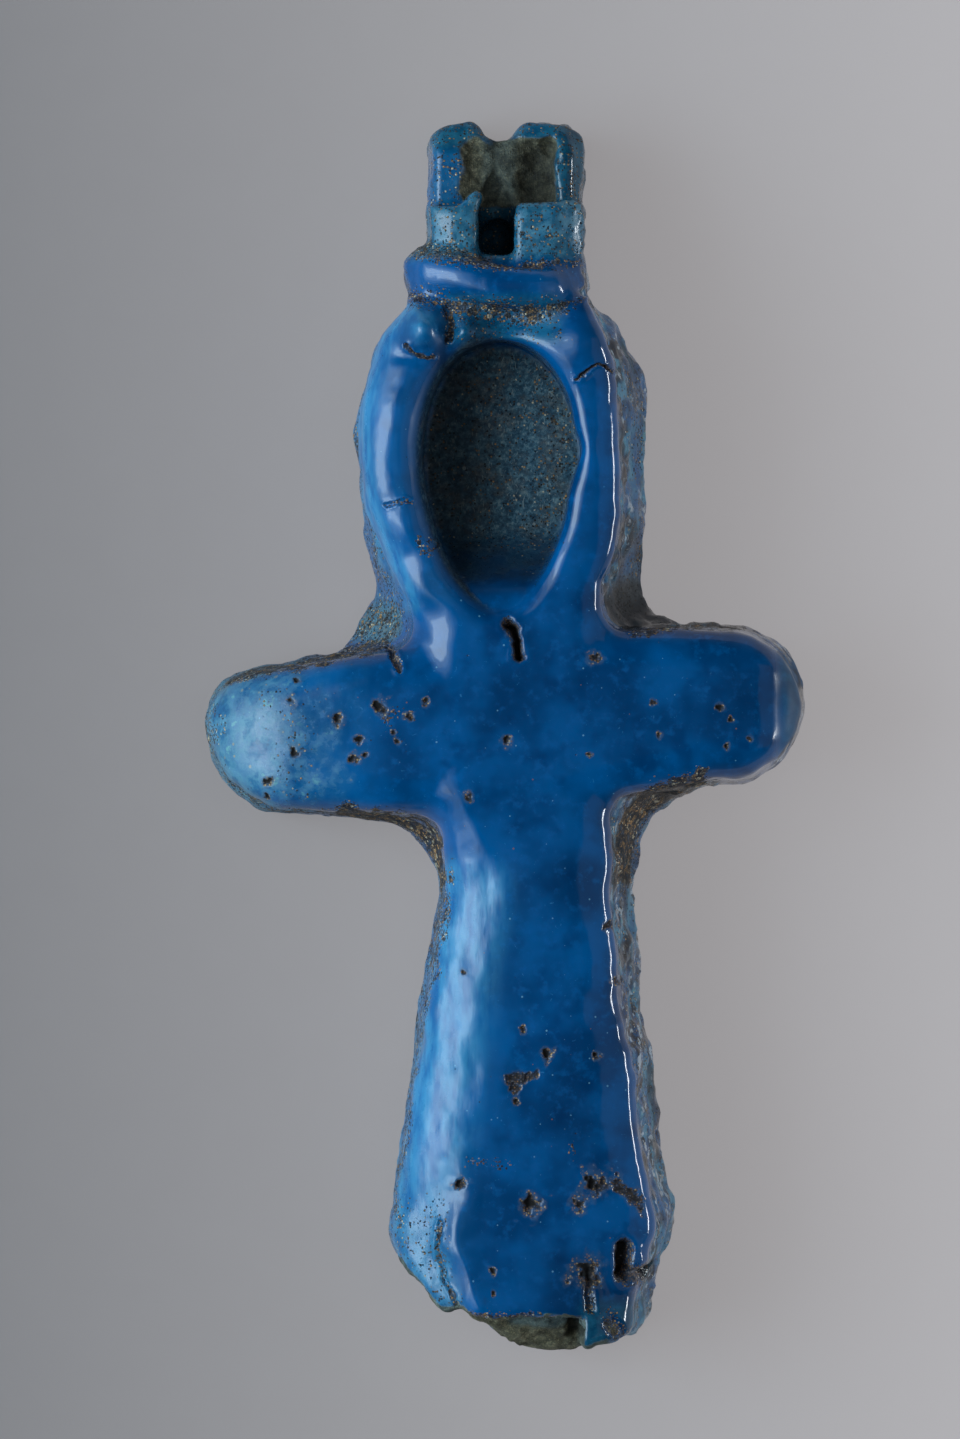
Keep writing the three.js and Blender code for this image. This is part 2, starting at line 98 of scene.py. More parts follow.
ARM_CORNER = dict(top_left=1.2, bottom_left=2.3, top_right=2.1, bottom_right=1.9)
ARM_END_ROLL = 1.5
FOLD_X = 6.93
FOLD_DEPTH = 0.07
SHAFT_LEFT = [
    (-13.6, -3.0), (-12.6, -2.96), (-11.7, -2.84), (-10.4, -2.62), (-9.2, -2.44),
    (-7.9, -2.26), (-6.6, -2.08), (-5.4, -1.88), (-4.2, -1.66), (-3.0, -1.64), (-1.5, -1.7),
]
SHAFT_RIGHT = [
    (-15.4, 3.64), (-14.0, 3.78), (-13.5, 4.0), (-12.9, 4.2), (-12.2, 4.34), (-11.4, 4.16), (-10.4, 3.94),
    (-9.2, 3.82), (-8.0, 3.76), (-7.4, 3.56), (-6.6, 3.4), (-5.4, 3.38), (-4.0, 3.22), (-3.0, 3.25), (-1.5, 3.1),
]
FOOT = [
    (-3.0, -12.9), (-2.5, -13.43), (-2.04, -13.9), (-1.64, -14.42), (-1.36, -14.5), (-1.08, -14.44),
    (-0.8, -14.66), (-0.5, -14.8), (-0.1, -15.12), (0.46, -15.42), (0.85, -15.58), (1.3, -15.6), (1.8, -15.5),
    (2.3, -15.36), (2.6, -15.24), (2.95, -15.17), (3.36, -15.1), (3.65, -14.9), (4.2, -14.3),
]
FOOT_FACE_Y = -14.62
FOOT_BREAK = dict(left=-0.9, right=1.95, floor=2.5)
# the glazed face's ragged left border above the foot, and the lower lump outside it
RIDGE = [(-14.7, -0.78), (-13.9, -0.99), (-13.14, -1.22), (-12.56, -1.33), (-11.8, -1.2), (-11.4, -0.95), (-10.6, -0.75)]
LUMP_DROP = 0.42

# ---- collar and lug ----
COLLAR_R = (0.64, 0.54)
COLLAR_PATH = [
    (-1.84, 11.78, 1.4), (-1.9, 11.84, 3.2), (-1.5, 11.72, 4.0), (-0.2, 11.42, 4.5),
    (0.85, 11.36, 4.4), (1.42, 11.5, 3.5), (1.46, 11.5, 1.4),
]
LUG = dict(left=-1.9, right=1.93, bottom=11.4, top=15.6, corner=0.85)
STUB_Z = 4.25
STUB_TOP_Y = 13.5
BORE = dict(x=-0.19, z=2.75, r=0.43)
PIT = dict(x=-0.12, y=12.65, z=2.1, r=0.5)
NOTCH = dict(x=-0.12, y=15.68, r=0.54)

# ---- marks in the glaze: x, y, radius, depth, how dark the middle is ----
PITS = [
    (-5.36, 0.94, 0.1, 0.04, 0.2), (-4.19, 0.48, 0.15, 0.07, 0.6), (-3.65, -0.03, 0.1, 0.07, 1.0), (-3.77, -0.5, 0.14, 0.06, 0.4), (-3.5, -0.42, 0.07, 0.05, 0.9),
    (-3.06, 0.81, 0.16, 0.08, 1.0), (-2.37, 0.53, 0.1, 0.05, 0.2), (-1.97, 0.94, 0.09, 0.05, 0.7), (-5.2, -0.33, 0.13, 0.05, 0.7), (-2.75, 0.12, 0.07, 0.04, 0.3), (-2.7, -0.1, 0.06, 0.04, 0.3),
    (-5.93, -1.09, 0.1, 0.05, 0.8), (-5.98, -1.47, 0.08, 0.05, 0.9), (-5.2, 1.45, 0.09, 0.05, 1.0), (0.06, -0.08, 0.15, 0.06, 0.4),
    (-0.88, -1.47, 0.1, 0.04, 0.1), (2.3, 2.03, 0.14, 0.04, 0.1), (3.77, 0.91, 0.08, 0.04, 0.1), (3.92, 0.08, 0.07, 0.04, 0.3),
    (5.42, 0.76, 0.09, 0.06, 0.7), (5.7, 0.47, 0.07, 0.05, 0.7), (6.2, 0.0, 0.06, 0.04, 0.4), (5.6, -0.23, 0.07, 0.04, 0.3),
    (2.14, -0.43, 0.06, 0.03, 0.2), (-1.05, -11.17, 0.17, 0.09, 1.0), (0.64, -11.78, 0.26, 0.12, 0.9),
    (2.26, -11.22, 0.28, 0.13, 0.8), (1.86, -11.75, 0.17, 0.06, 0.2), (2.09, -13.49, 0.33, 0.13, 0.7), (1.09, -7.97, 0.14, 0.09, 1.0),
    (2.33, -8.01, 0.1, 0.07, 0.9), (0.45, -7.33, 0.08, 0.04, 0.1), (2.71, -4.72, 0.13, 0.06, 0.1), (2.86, -6.14, 0.1, 0.05, 0.1),
    (0.33, -9.13, 0.08, 0.05, 0.4), (-0.29, -13.43, 0.09, 0.05, 0.8), (-0.27, -14.0, 0.06, 0.04, 0.2), (-1.03, -5.88, 0.07, 0.02, 0.0),
]
# flat patches where the glaze has flaked off: x, y, half width, half height, turn
PATCHES = [(0.34, -8.6, 0.28, 0.22, 0.35), (0.68, -8.52, 0.2, 0.12, 0.5), (0.28, -8.86, 0.12, 0.12, 0.0), (3.1, -11.42, 0.52, 0.2, -0.72)]
# cracks, folds and channels: points, half width, depth, how dark, how much dirt
SCARS = [
    ([(0.09, 2.89), (0.32, 2.51), (0.39, 2.08)], 0.14, 0.5, 1.0, 0.4),
    ([(-2.96, 5.86), (-2.42, 5.94)], 0.06, 0.04, 0.0, 0.5),
    ([(1.85, 9.02), (2.3, 9.36), (2.5, 9.39), (2.73, 9.21)], 0.036, 0.1, 0.8, 0.35),
    ([(-2.47, 9.92), (-2.17, 9.64), (-1.76, 9.57)], 0.04, 0.1, 0.62, 0.75),
    ([(-1.42, 10.85), (-1.36, 10.5), (-1.4, 10.05)], 0.09, 0.08, 0.0, 0.62),
    ([(2.09, -13.7), (2.2, -14.35)], 0.12, 0.12, 0.1, 0.6),
    ([(3.03, -12.78), (3.02, -13.5)], 0.2, 0.4, 0.8, 0.2),
    ([(3.1, -13.55), (3.85, -13.5)], 0.2, 0.25, 0.3, 0.9),
    ([(-2.88, 2.31), (-2.63, 1.75)], 0.08, 0.12, 0.2, 0.9),
    ([(-1.6, -12.2), (-1.72, -12.84), (-1.58, -13.37), (-1.45, -13.75), (-1.2, -14.3)], 0.06, 0.07, 0.0, 0.6),
]
# where dirt clings: points, half width, how much
DIRT_LINES = [
    ([(-4.0, -1.98), (-2.6, -2.2), (-1.84, -2.62), (-1.62, -3.5)], 0.3, 1.0),
    ([(4.9, -1.12), (3.85, -1.45), (3.34, -1.95), (3.12, -2.8), (3.12, -3.5)], 0.34, 0.95),
    ([(-1.58, -3.5), (-1.58, -4.3), (-1.74, -5.3), (-1.86, -5.9)], 0.2, 0.6),
    ([(-1.86, -5.9), (-2.06, -7.0), (-2.28, -8.4), (-2.5, -10.2), (-2.8, -11.8)], 0.1, 0.5),
    ([(-7.3, 1.52), (-6.2, 1.75), (-5.0, 1.95), (-3.1, 2.4)], 0.2, 0.72),
    ([(-6.2, -1.85), (-4.2, -2.0)], 0.13, 0.6),
    ([(3.3, 2.62), (4.6, 2.88), (6.1, 2.88)], 0.14, 0.7),
    ([(-3.06, 0.7), (-2.9, 0.2), (-2.65, -0.1)], 0.06, 0.5),
    ([(-2.9, 0.65), (-2.2, 0.5)], 0.12, 0.35),
    ([(-0.8, -10.65), (-0.3, -10.7), (0.1, -10.8)], 0.12, 0.3),
    ([(-2.75, -11.9), (-2.6, -12.3)], 0.1, 0.5),
    ([(1.76, -10.2), (1.66, -10.6)], 0.05, 0.4),
    ([(-2.02, 4.95), (-1.92, 4.85)], 0.24, 0.5),
    ([(-0.9, -14.5), (0.3, -14.55), (0.9, -14.45), (1.6, -14.75)], 0.08, 0.7),
]


def through(stations):
    """Smooth curve through stations: a cubic with the neighbours' slopes."""
    at = np.array([s[0] for s in stations])
    val = np.array([s[1] for s in stations])
    n = len(at)
    lo, hi = np.maximum(np.arange(n) - 1, 0), np.minimum(np.arange(n) + 1, n - 1)
    slope = (val[hi] - val[lo]) / (at[hi] - at[lo])

    def curve(v):
        v = np.clip(v, at[0], at[-1])
        i = np.clip(np.searchsorted(at, v, side="right") - 1, 0, n - 2)
        h = at[i + 1] - at[i]
        t = (v - at[i]) / h
        t2, t3 = t * t, t * t * t
        return (
            (2 * t3 - 3 * t2 + 1) * val[i] + (t3 - 2 * t2 + t) * h * slope[i]
            + (3 * t2 - 2 * t3) * val[i + 1] + (t3 - t2) * h * slope[i + 1]
        )

    return curve


loop_left, loop_right = through(LOOP_LEFT), through(LOOP_RIGHT)
bar_left, bar_right = through(BAR_LEFT), through(BAR_RIGHT)
arm_top, arm_bottom = through(ARM_TOP), through(ARM_BOTTOM)
shaft_left, shaft_right = through(SHAFT_LEFT), through(SHAFT_RIGHT)
foot = through(FOOT)
ridge = through(RIDGE)


def join(a, b, k):
    h = np.maximum(k - np.abs(a - b), 0) / k
    return np.minimum(a, b) - h * h * k / 4


def cut(a, b, k):
    return -join(-a, -b, k)


def step(a, b, v):
    t = np.clip((v - a) / (b - a), 0, 1)
    return t * t * (3 - 2 * t)


def mix(a, b, t):
    return a + (b - a) * t


def band(v, low, high):
    return np.maximum(low - v, v - high)


def dome(v, low, high, flat):
    return np.sqrt(np.maximum(0, 1 - np.abs((2 * v - low - high) / (high - low)) ** flat))


def bump(x, y, cx, cy, r):
    return np.exp(-((x - cx) ** 2 + (y - cy) ** 2) / r**2)


# ---- seeded lattice noise, -1 to 1 ----
def lattice(i, j, k, seed):
    with np.errstate(over="ignore"):
        n = (
            i.astype(np.uint32) * np.uint32(374761393)
            ^ j.astype(np.uint32) * np.uint32(668265263)
            ^ k.astype(np.uint32) * np.uint32(2246822519)
            ^ np.uint32((seed * 3266489917) & 0xFFFFFFFF)
        )
        n = (n ^ (n >> np.uint32(13))) * np.uint32(1274126177)
        n = (n ^ (n >> np.uint32(15))) * np.uint32(2654435761)
        n = n ^ (n >> np.uint32(16))
    return n.astype(np.float64) / 2147483647.5 - 1


def noise(x, y, z, size, seed=0):
    x, y, z = np.broadcast_arrays(np.asarray(x, float) / size + 100.3, np.asarray(y, float) / size + 100.7, np.asarray(z, float) / size + 100.1)
    i, j, k = np.floor(x).astype(np.int64), np.floor(y).astype(np.int64), np.floor(z).astype(np.int64)
    u, v, w = x - i, y - j, z - k
    u, v, w = (t * t * t * (t * (t * 6 - 15) + 10) for t in (u, v, w))
    out = 0
    for a in (0, 1):
        for b in (0, 1):
            for c in (0, 1):
                weight = (u if a else 1 - u) * (v if b else 1 - v) * (w if c else 1 - w)
                out = out + weight * lattice(i + a, j + b, k + c, seed)
    return out


def rough(x, y, z, size, octaves, seed=0):
    out, amp = 0, 1.0
    for o in range(octaves):
        out = out + amp * noise(x, y, z, size / 2**o, seed + 17 * o)
        amp *= 0.5
    return out


# ---- plan shapes ----
def arm_plan(x, y, inset):
    top, bottom = y - arm_top(x) + inset, arm_bottom(x) + inset - y
    left, right = ARM_LEFT_X + inset - x, x - ARM_RIGHT_X + inset
    upper = np.where(x < 0, cut(top, left, ARM_CORNER["top_left"]), cut(top, right, ARM_CORNER["top_right"]))
    lower = np.where(x < 0, cut(bottom, left, ARM_CORNER["bottom_left"]), cut(bottom, right, ARM_CORNER["bottom_right"]))
    return np.maximum(upper, lower)


def shaft_plan(x, y, left, right):
    side = np.maximum(band(x, shaft_left(y) + left, shaft_right(y) - right), y - 1.0)
    return cut(side, foot(x) - y, 0.5)


def plate_plan(x, y):
    loop = np.maximum(band(x, loop_left(y), loop_right(y)), band(y, 0, LOOP_TOP_Y))
    arms = arm_plan(x, y, 0)
    shaft = shaft_plan(x, y, 0, 0)
    left = join(join(loop, arms, 0.8), shaft, PLATE_FILLET["lower_left"])
    right = join(join(loop, arms, PLATE_FILLET["crossing"]), shaft, PLATE_FILLET["lower_right"])
    return np.where(x < 0, left, right) + 0.035 * noise(x, y, 0, 0.8, 6)


def relief_plan(x, y):
    loop = np.maximum(band(x, bar_left(y), bar_right(y)), band(y, 0, LOOP_TOP_Y - 1.1))
    arms = arm_plan(x, y, INSET_ARM)
    wavy = 0.05 * noise(x, y, 0, 0.9, 7) + 0.02 * noise(x, y, 0, 0.35, 8)
    return join(join(loop, arms, RELIEF_FILLET), shaft_plan(x, y, INSET_LEFT, INSET_RIGHT), RELIEF_FILLET) + wavy


def recess_plan(x, y):
    dy = (y - RECESS["y"]) / RECESS["half_height"]
    w = RECESS["half_width"] * (1 + RECESS["egg"] * dy)
    r = np.hypot((x - RECESS["x"]) / w, dy)
    wavy = 0.05 * noise(x, y, 0, 1.3, 5) + 0.14 * bump(x, y, 1.8, 7.3, 0.35) - 0.1 * bump(x, y, 1.7, 6.2, 0.6)
    d = np.hypot(x - RECESS["x"], y - RECESS["y"])
    return np.where(r > 1e-6, (r - 1) * d / np.maximum(r, 1e-6), -RECESS["half_width"]) - wavy


def sag(inner, roll):
    """Drop below the crest at a distance inside an edge."""
    width, slope = roll
    return 0.5 * slope * np.maximum(width - inner, 0) ** 2 / width


def face_height(x, y):
    """A puffed cushion inside the relief's outline, rolled off towards its edges."""
    crest = CREST_Z - FOOT_DROP * step(-2, -13, y)
    left_width = mix(0.6, SHAFT_ROLL["left"][0] * (1 + 0.2 * noise(0, y, 0, 1.3, 14)), step(-0.9, -4.4, y))
    shaft = crest - sag(x - shaft_left(y) - INSET_LEFT, (left_width, SHAFT_ROLL["left"][1])) - sag(shaft_right(y) - INSET_RIGHT - x, SHAFT_ROLL["right"])
    middle = (bar_left(y) + bar_right(y)) / 2
    side = step(-1.0, 1.0, x - middle)
    edge = -np.maximum(band(x, bar_left(y), bar_right(y)), y - LOOP_TOP_Y + 1.1)
    left_width = LOOP_ROLL["left"][0] * (1 + 0.34 * noise(0, y, 0, 0.9, 12))
    loop = crest - mix(sag(edge, (left_width, LOOP_ROLL["left"][1])), sag(edge, LOOP_ROLL["right"]), side)
    stem = mix(shaft, loop, step(0.2, 2.6, y))
    arm = CREST_Z - ARM_END_DROP * step(2.5, 7.4, np.abs(x))
    arm = arm - sag(arm_top(x) - INSET_ARM - y, ARM_ROLL["top"]) - sag(y - arm_bottom(x) - INSET_ARM, ARM_ROLL["bottom"])
    arm = arm - sag(x - ARM_LEFT_X - INSET_ARM, ARM_ROLL["left"]) - sag(ARM_RIGHT_X - INSET_ARM - x, ARM_ROLL["right"])
    h = -join(-stem, -arm, mix(0.1, 0.25, step(0.7, 1.5, np.abs(y - 0.3))) + 0.3 * step(0.4, -1.0, x) * step(-0.3, -1.6, y))
    h = h - FOLD_DEPTH * np.exp(-(((x - FOLD_X - 0.05 * noise(0, y, 0, 0.7, 10)) / 0.17) ** 2)) * step(2.9, 2.3, np.abs(y - 0.9) + 0.6)
    for cx, cy, rx, ry, rise in SWELLINGS:
        h = h + rise * np.exp(-(((x - cx) / rx) ** 2) - ((y - cy) / ry) ** 2)
    border = ridge(y) + 0.06 * noise(x, y, 0, 0.5, 9)
    low = step(-10.7, -13.0, y)
    h = h + low * (0.1 * np.exp(-(((x - border - 0.2) / 0.3) ** 2)) - LUMP_DROP * step(border + 0.25, border - 0.7, x))
    return h


def bevel(z):
    return np.where(z < BACK_BEVEL, BACK_BEVEL - np.sqrt(np.maximum(0, BACK_BEVEL**2 - (BACK_BEVEL - z) ** 2)), 0)


def curve_points(path, count):
    """Evenly spaced points on a smooth curve through a path's points."""
    p = np.array(path, float)
    along = np.concatenate([[0], np.cumsum(np.sqrt(np.linalg.norm(np.diff(p, axis=0), axis=1)))])
    fine = np.linspace(0, along[-1], 200)
    q = np.stack([through(list(zip(along, p[:, c])))(fine) for c in range(3)], axis=1)
    length = np.concatenate([[0], np.cumsum(np.linalg.norm(np.diff(q, axis=0), axis=1))])
    even_at = np.linspace(0, length[-1], count)
    return np.stack([np.interp(even_at, length, q[:, c]) for c in range(3)], axis=1)


COLLAR_POINTS = curve_points(COLLAR_PATH, 24)


def collar(x, y, z):
    best = None
    last = len(COLLAR_POINTS) - 1
    for n, (a, b) in enumerate(zip(COLLAR_POINTS[:-1], COLLAR_POINTS[1:])):
        leg = b - a
        t = np.clip(((x - a[0]) * leg[0] + (y - a[1]) * leg[1] + (z - a[2]) * leg[2]) / (leg @ leg), 0, 1)
        d = np.sqrt((x - a[0] - t * leg[0]) ** 2 + (y - a[1] - t * leg[1]) ** 2 + (z - a[2] - t * leg[2]) ** 2)
        d = d - mix(COLLAR_R[0], COLLAR_R[1], step(0.2, 0.6, (n + t) / last))
        best = d if best is None else np.minimum(best, d)
    return best


def lug_back_height(x, y):
    """Level of the lug's back plate, broken open between its two glazed sides."""
    wave = 0.1 * noise(x, y, 0, 0.55, 31) + 0.05 * noise(x, y, 0, 0.2, 33)
    broken = step(-1.15, -0.85, x + wave) * step(1.45, 1.1, x + wave) * step(15.25, 14.85, y + wave)
    deeper = step(0.1, 0.8, x + wave)
    level = mix(3.1, mix(2.85, 2.6, deeper), broken)
    return level - 0.45 * step(14.7, 15.6, y) - 0.25 * np.maximum(0, np.abs(x) - 1.55) ** 2 / 0.1


def lug(x, y, z):
    plan = np.maximum(band(x, LUG["left"], LUG["right"]), band(y, LUG["bottom"], LUG["top"]))
    corner = cut(band(x, LUG["left"], LUG["right"]), y - LUG["top"], LUG["corner"])
    wave = 0.05 * noise(x, y, 0, 0.6, 34)
    back = cut(np.maximum(plan, corner) + wave, z - lug_back_height(x, y), 0.25)
    stub_top = STUB_TOP_Y + 0.36 * step(-1.25, -0.68, x) * step(0.0, -0.5, x) + 0.04 * noise(x, y, 0, 0.5, 32)
    stub_face = STUB_Z - 0.3 * step(1.2, 1.9, np.abs(x)) - 0.12 * (y - 12.6) - 0.12 * step(13.0, 12.4, y)
    stubs = cut(np.maximum(plan + 0.5 * wave, y - stub_top), z - stub_face, 0.3)
    d = join(back, stubs, 0.15)
    groove = np.hypot(x - BORE["x"], np.maximum(0, BORE["z"] - z))
    d = cut(d, BORE["r"] - groove - 0.55 * step(13.2, 14.9, y), 0.3)
    d = cut(d, NOTCH["r"] - np.hypot(x - NOTCH["x"], y - NOTCH["y"]), 0.25)
    return cut(d, PIT["r"] - np.sqrt((x - PIT["x"]) ** 2 + (y - PIT["y"]) ** 2 + (z - PIT["z"]) ** 2), 0.1)


def body(x, y, z):
    # walls flare out from the relief's edge to the foot of the outline
    down = np.clip((WALL_TOP_Z - z) / (WALL_TOP_Z - WALL_FOOT_Z), 0, 1) ** 1.7
    wall = mix(relief_plan(x, y), plate_plan(x, y), down) + bevel(z)
    rim = mix(0.45, 0.34, step(0.5, 2.5, x) * step(4.2, 3.2, x))
    d = cut(wall, (z - face_height(x, y)) * 0.85, rim)
    floor = RECESS_FLOOR_Z + RAMP["rise"] * step(RAMP["start"], RAMP["end"], y)
    d = cut(d, -np.maximum(recess_plan(x, y), (floor - z) * 0.8), mix(0.75, 0.5, step(-1.5, 1.0, x) * step(3.6, 4.8, y)))
    core = np.maximum(y - FOOT_FACE_Y - 0.08 * noise(x, 0, 0, 0.5, 3), band(x, FOOT_BREAK["left"], FOOT_BREAK["right"]))
    slope = FOOT_BREAK["floor"] + 1.1 * (y - FOOT_FACE_Y + 0.45) - z
    return cut(d, -np.maximum(core, slope), 0.2)


HEAD_Y = 10.2


def head(d, x, y, z):
    """Adds neck, collar and lug to the body's field above HEAD_Y."""
    wall = bevel(z)
    neck = cut(np.maximum(band(x, -2.05, 1.7), band(y, 10.4, 12.3)) + wall, z - 4.0, 0.55)
    d = join(d, neck, 0.8)
    d = join(d, collar(x, y, z), 0.28)
    return join(d, np.maximum(lug(x, y, z), np.where(y < LUG["bottom"], 1, -9)) + np.where(y > 12, wall, 0), 0.22)


def amulet(p):
    x, y, z = p[:, 0], p[:, 1], np.maximum(p[:, 2], 0)
    d = body(x, y, z)
    m = y > HEAD_Y
    d[m] = head(d[m], x[m], y[m], z[m])
    return d


def gradient(p, e=0.01):
    g = np.empty_like(p)
    for axis in range(3):
        q = np.zeros(3)
        q[axis] = e
        g[:, axis] = (amulet(p + q) - amulet(p - q)) / (2 * e)
    return g


# ---- skinning ----
EDGES = [(0, 1), (2, 3), (4, 5), (6, 7), (0, 2), (1, 3), (4, 6), (5, 7), (0, 4), (1, 5), (2, 6), (3, 7)]


def skin(value, xs, ys, zs):
    """Quads, as two triangles each, round every grid edge that the surface crosses, between one point in each cell it passes."""
    inside = value < 0
    nx, ny, nz = value.shape
    corner = [(c & 1, (c >> 1) & 1, c >> 2) for c in range(8)]
    shift = lambda arr, c: arr[c[0] : nx - 1 + c[0], c[1] : ny - 1 + c[1], c[2] : nz - 1 + c[2]]
    count = sum(shift(inside, c).astype(np.int8) for c in corner)
    i, j, k = np.nonzero((count > 0) & (count < 8))
    f = [value[i + c[0], j + c[1], k + c[2]] for c in corner]
    total, hits = np.zeros((len(i), 3)), np.zeros(len(i))
    for a, b in EDGES:
        crossed = (f[a] < 0) != (f[b] < 0)
        t = np.where(crossed, f[a] / np.where(crossed, f[a] - f[b], 1), 0)
        ca, cb = corner[a], corner[b]
        p = np.stack([mix(axis[n + ca[q]], axis[n + cb[q]], t) for q, (axis, n) in enumerate(((xs, i), (ys, j), (zs, k)))], axis=1)
        total += np.where(crossed[:, None], p, 0)
        hits += crossed
    verts = total / hits[:, None]
    index = np.full((nx - 1, ny - 1, nz - 1), -1, np.int64)
    index[i, j, k] = np.arange(len(i))
    quads = []
    for axis in range(3):
        a = inside[1:-1, 1:-1, 1:-1]
        n = [slice(1, -1)] * 3
        n[axis] = slice(2, None)
        b = inside[tuple(n)]
        i, j, k = np.nonzero(a != b)
        i, j, k = i + 1, j + 1, k + 1
        flip = ~a[i - 1, j - 1, k - 1]
        u, v = [q for q in range(3) if q != axis]
        ring = []
        for du, dv in ((1, 1), (0, 1), (0, 0), (1, 0)):
            off = [0, 0, 0]
            off[u], off[v] = du, dv
            ring.append(index[i - off[0], j - off[1], k - off[2]])
        q = np.stack(ring, axis=1)
        if axis == 1:
            flip = ~flip
        q[flip] = q[flip][:, ::-1]
        quads.append(q)
    q = np.concatenate(quads)
    diagonal = np.linalg.norm(verts[q[:, 0]] - verts[q[:, 2]], axis=1) <= np.linalg.norm(verts[q[:, 1]] - verts[q[:, 3]], axis=1)
    one = np.where(diagonal[:, None], q[:, [0, 1, 2]], q[:, [0, 1, 3]])
    two = np.where(diagonal[:, None], q[:, [0, 2, 3]], q[:, [1, 2, 3]])
    return verts, np.concatenate([one, two])


def settle(verts, tris, rounds, held):
    """Evens the points out and puts them back on the surface. Held ones move only sideways."""
    pairs = np.concatenate([tris[:, [0, 1]], tris[:, [1, 2]], tris[:, [2, 0]]])
    for turn in range(rounds):
        total = np.stack([np.bincount(pairs[:, 0], verts[pairs[:, 1], c], len(verts)) for c in range(3)], axis=1)
        number = np.bincount(pairs[:, 0], minlength=len(verts))[:, None]
        p = verts + 0.5 * (total / np.maximum(number, 1) - verts)
        p[held, 2] = verts[held, 2]
        g = gradient(p)
        g[held, 2] = 0
        move = np.clip(-amulet(p) / np.maximum((g * g).sum(axis=1), 0.25), -0.04, 0.04)
        verts = p + g * move[:, None]
    return verts


def refine(verts, tris, wanted):
    """Splits the wanted triangles in four and their neighbours to match."""
    n = len(verts)
    edges = np.sort(np.stack([tris, np.roll(tris, -1, axis=1)], axis=2), axis=2).reshape(-1, 2)
    unique, inverse = np.unique(edges[:, 0] * n + edges[:, 1], return_inverse=True)
    inverse = inverse.reshape(-1, 3)
    split = np.zeros(len(unique), bool)
    split[inverse[wanted].ravel()] = True
    new = np.full(len(unique), -1, np.int64)
    new[split] = n + np.arange(split.sum())
    middle = (verts[unique[split] // n] + verts[unique[split] % n]) / 2
    m = new[inverse]
    s = m >= 0
    number = s.sum(axis=1)
    out = [tris[number == 0]]
    t, q = tris[number == 3], m[number == 3]
    for tri in ((t[:, 0], q[:, 0], q[:, 2]), (t[:, 1], q[:, 1], q[:, 0]), (t[:, 2], q[:, 2], q[:, 1]), (q[:, 0], q[:, 1], q[:, 2])):
        out.append(np.stack(tri, axis=1))
    for e in range(3):
        sel = (number == 1) & s[:, e]
        a, b, c = np.roll(tris[sel], -e, axis=1).T
        q = m[sel, e]
        out += [np.stack([a, q, c], axis=1), np.stack([q, b, c], axis=1)]
        sel = (number == 2) & ~s[:, e]
        a, b, c = np.roll(tris[sel], -e, axis=1).T
        q1, q2 = m[sel, (e + 1) % 3], m[sel, (e + 2) % 3]
        out += [np.stack([a, b, q1], axis=1), np.stack([a, q1, q2], axis=1), np.stack([q2, q1, c], axis=1)]
    return np.vstack([verts, middle]), np.concatenate(out)


# ---- marks: relief along the surface, and masks ----
def near_line(x, y, points):
    best = None
    for (ax, ay), (bx, by) in zip(points[:-1], points[1:]):
        lx, ly = bx - ax, by - ay
        t = np.clip(((x - ax) * lx + (y - ay) * ly) / (lx * lx + ly * ly), 0, 1)
        d = np.hypot(x - ax - t * lx, y - ay - t * ly)
        best = d if best is None else np.minimum(best, d)
    return best


MASKS = ("dirt", "pit", "core", "worn", "matte", "thin", "shade", "teal", "dull", "wet")


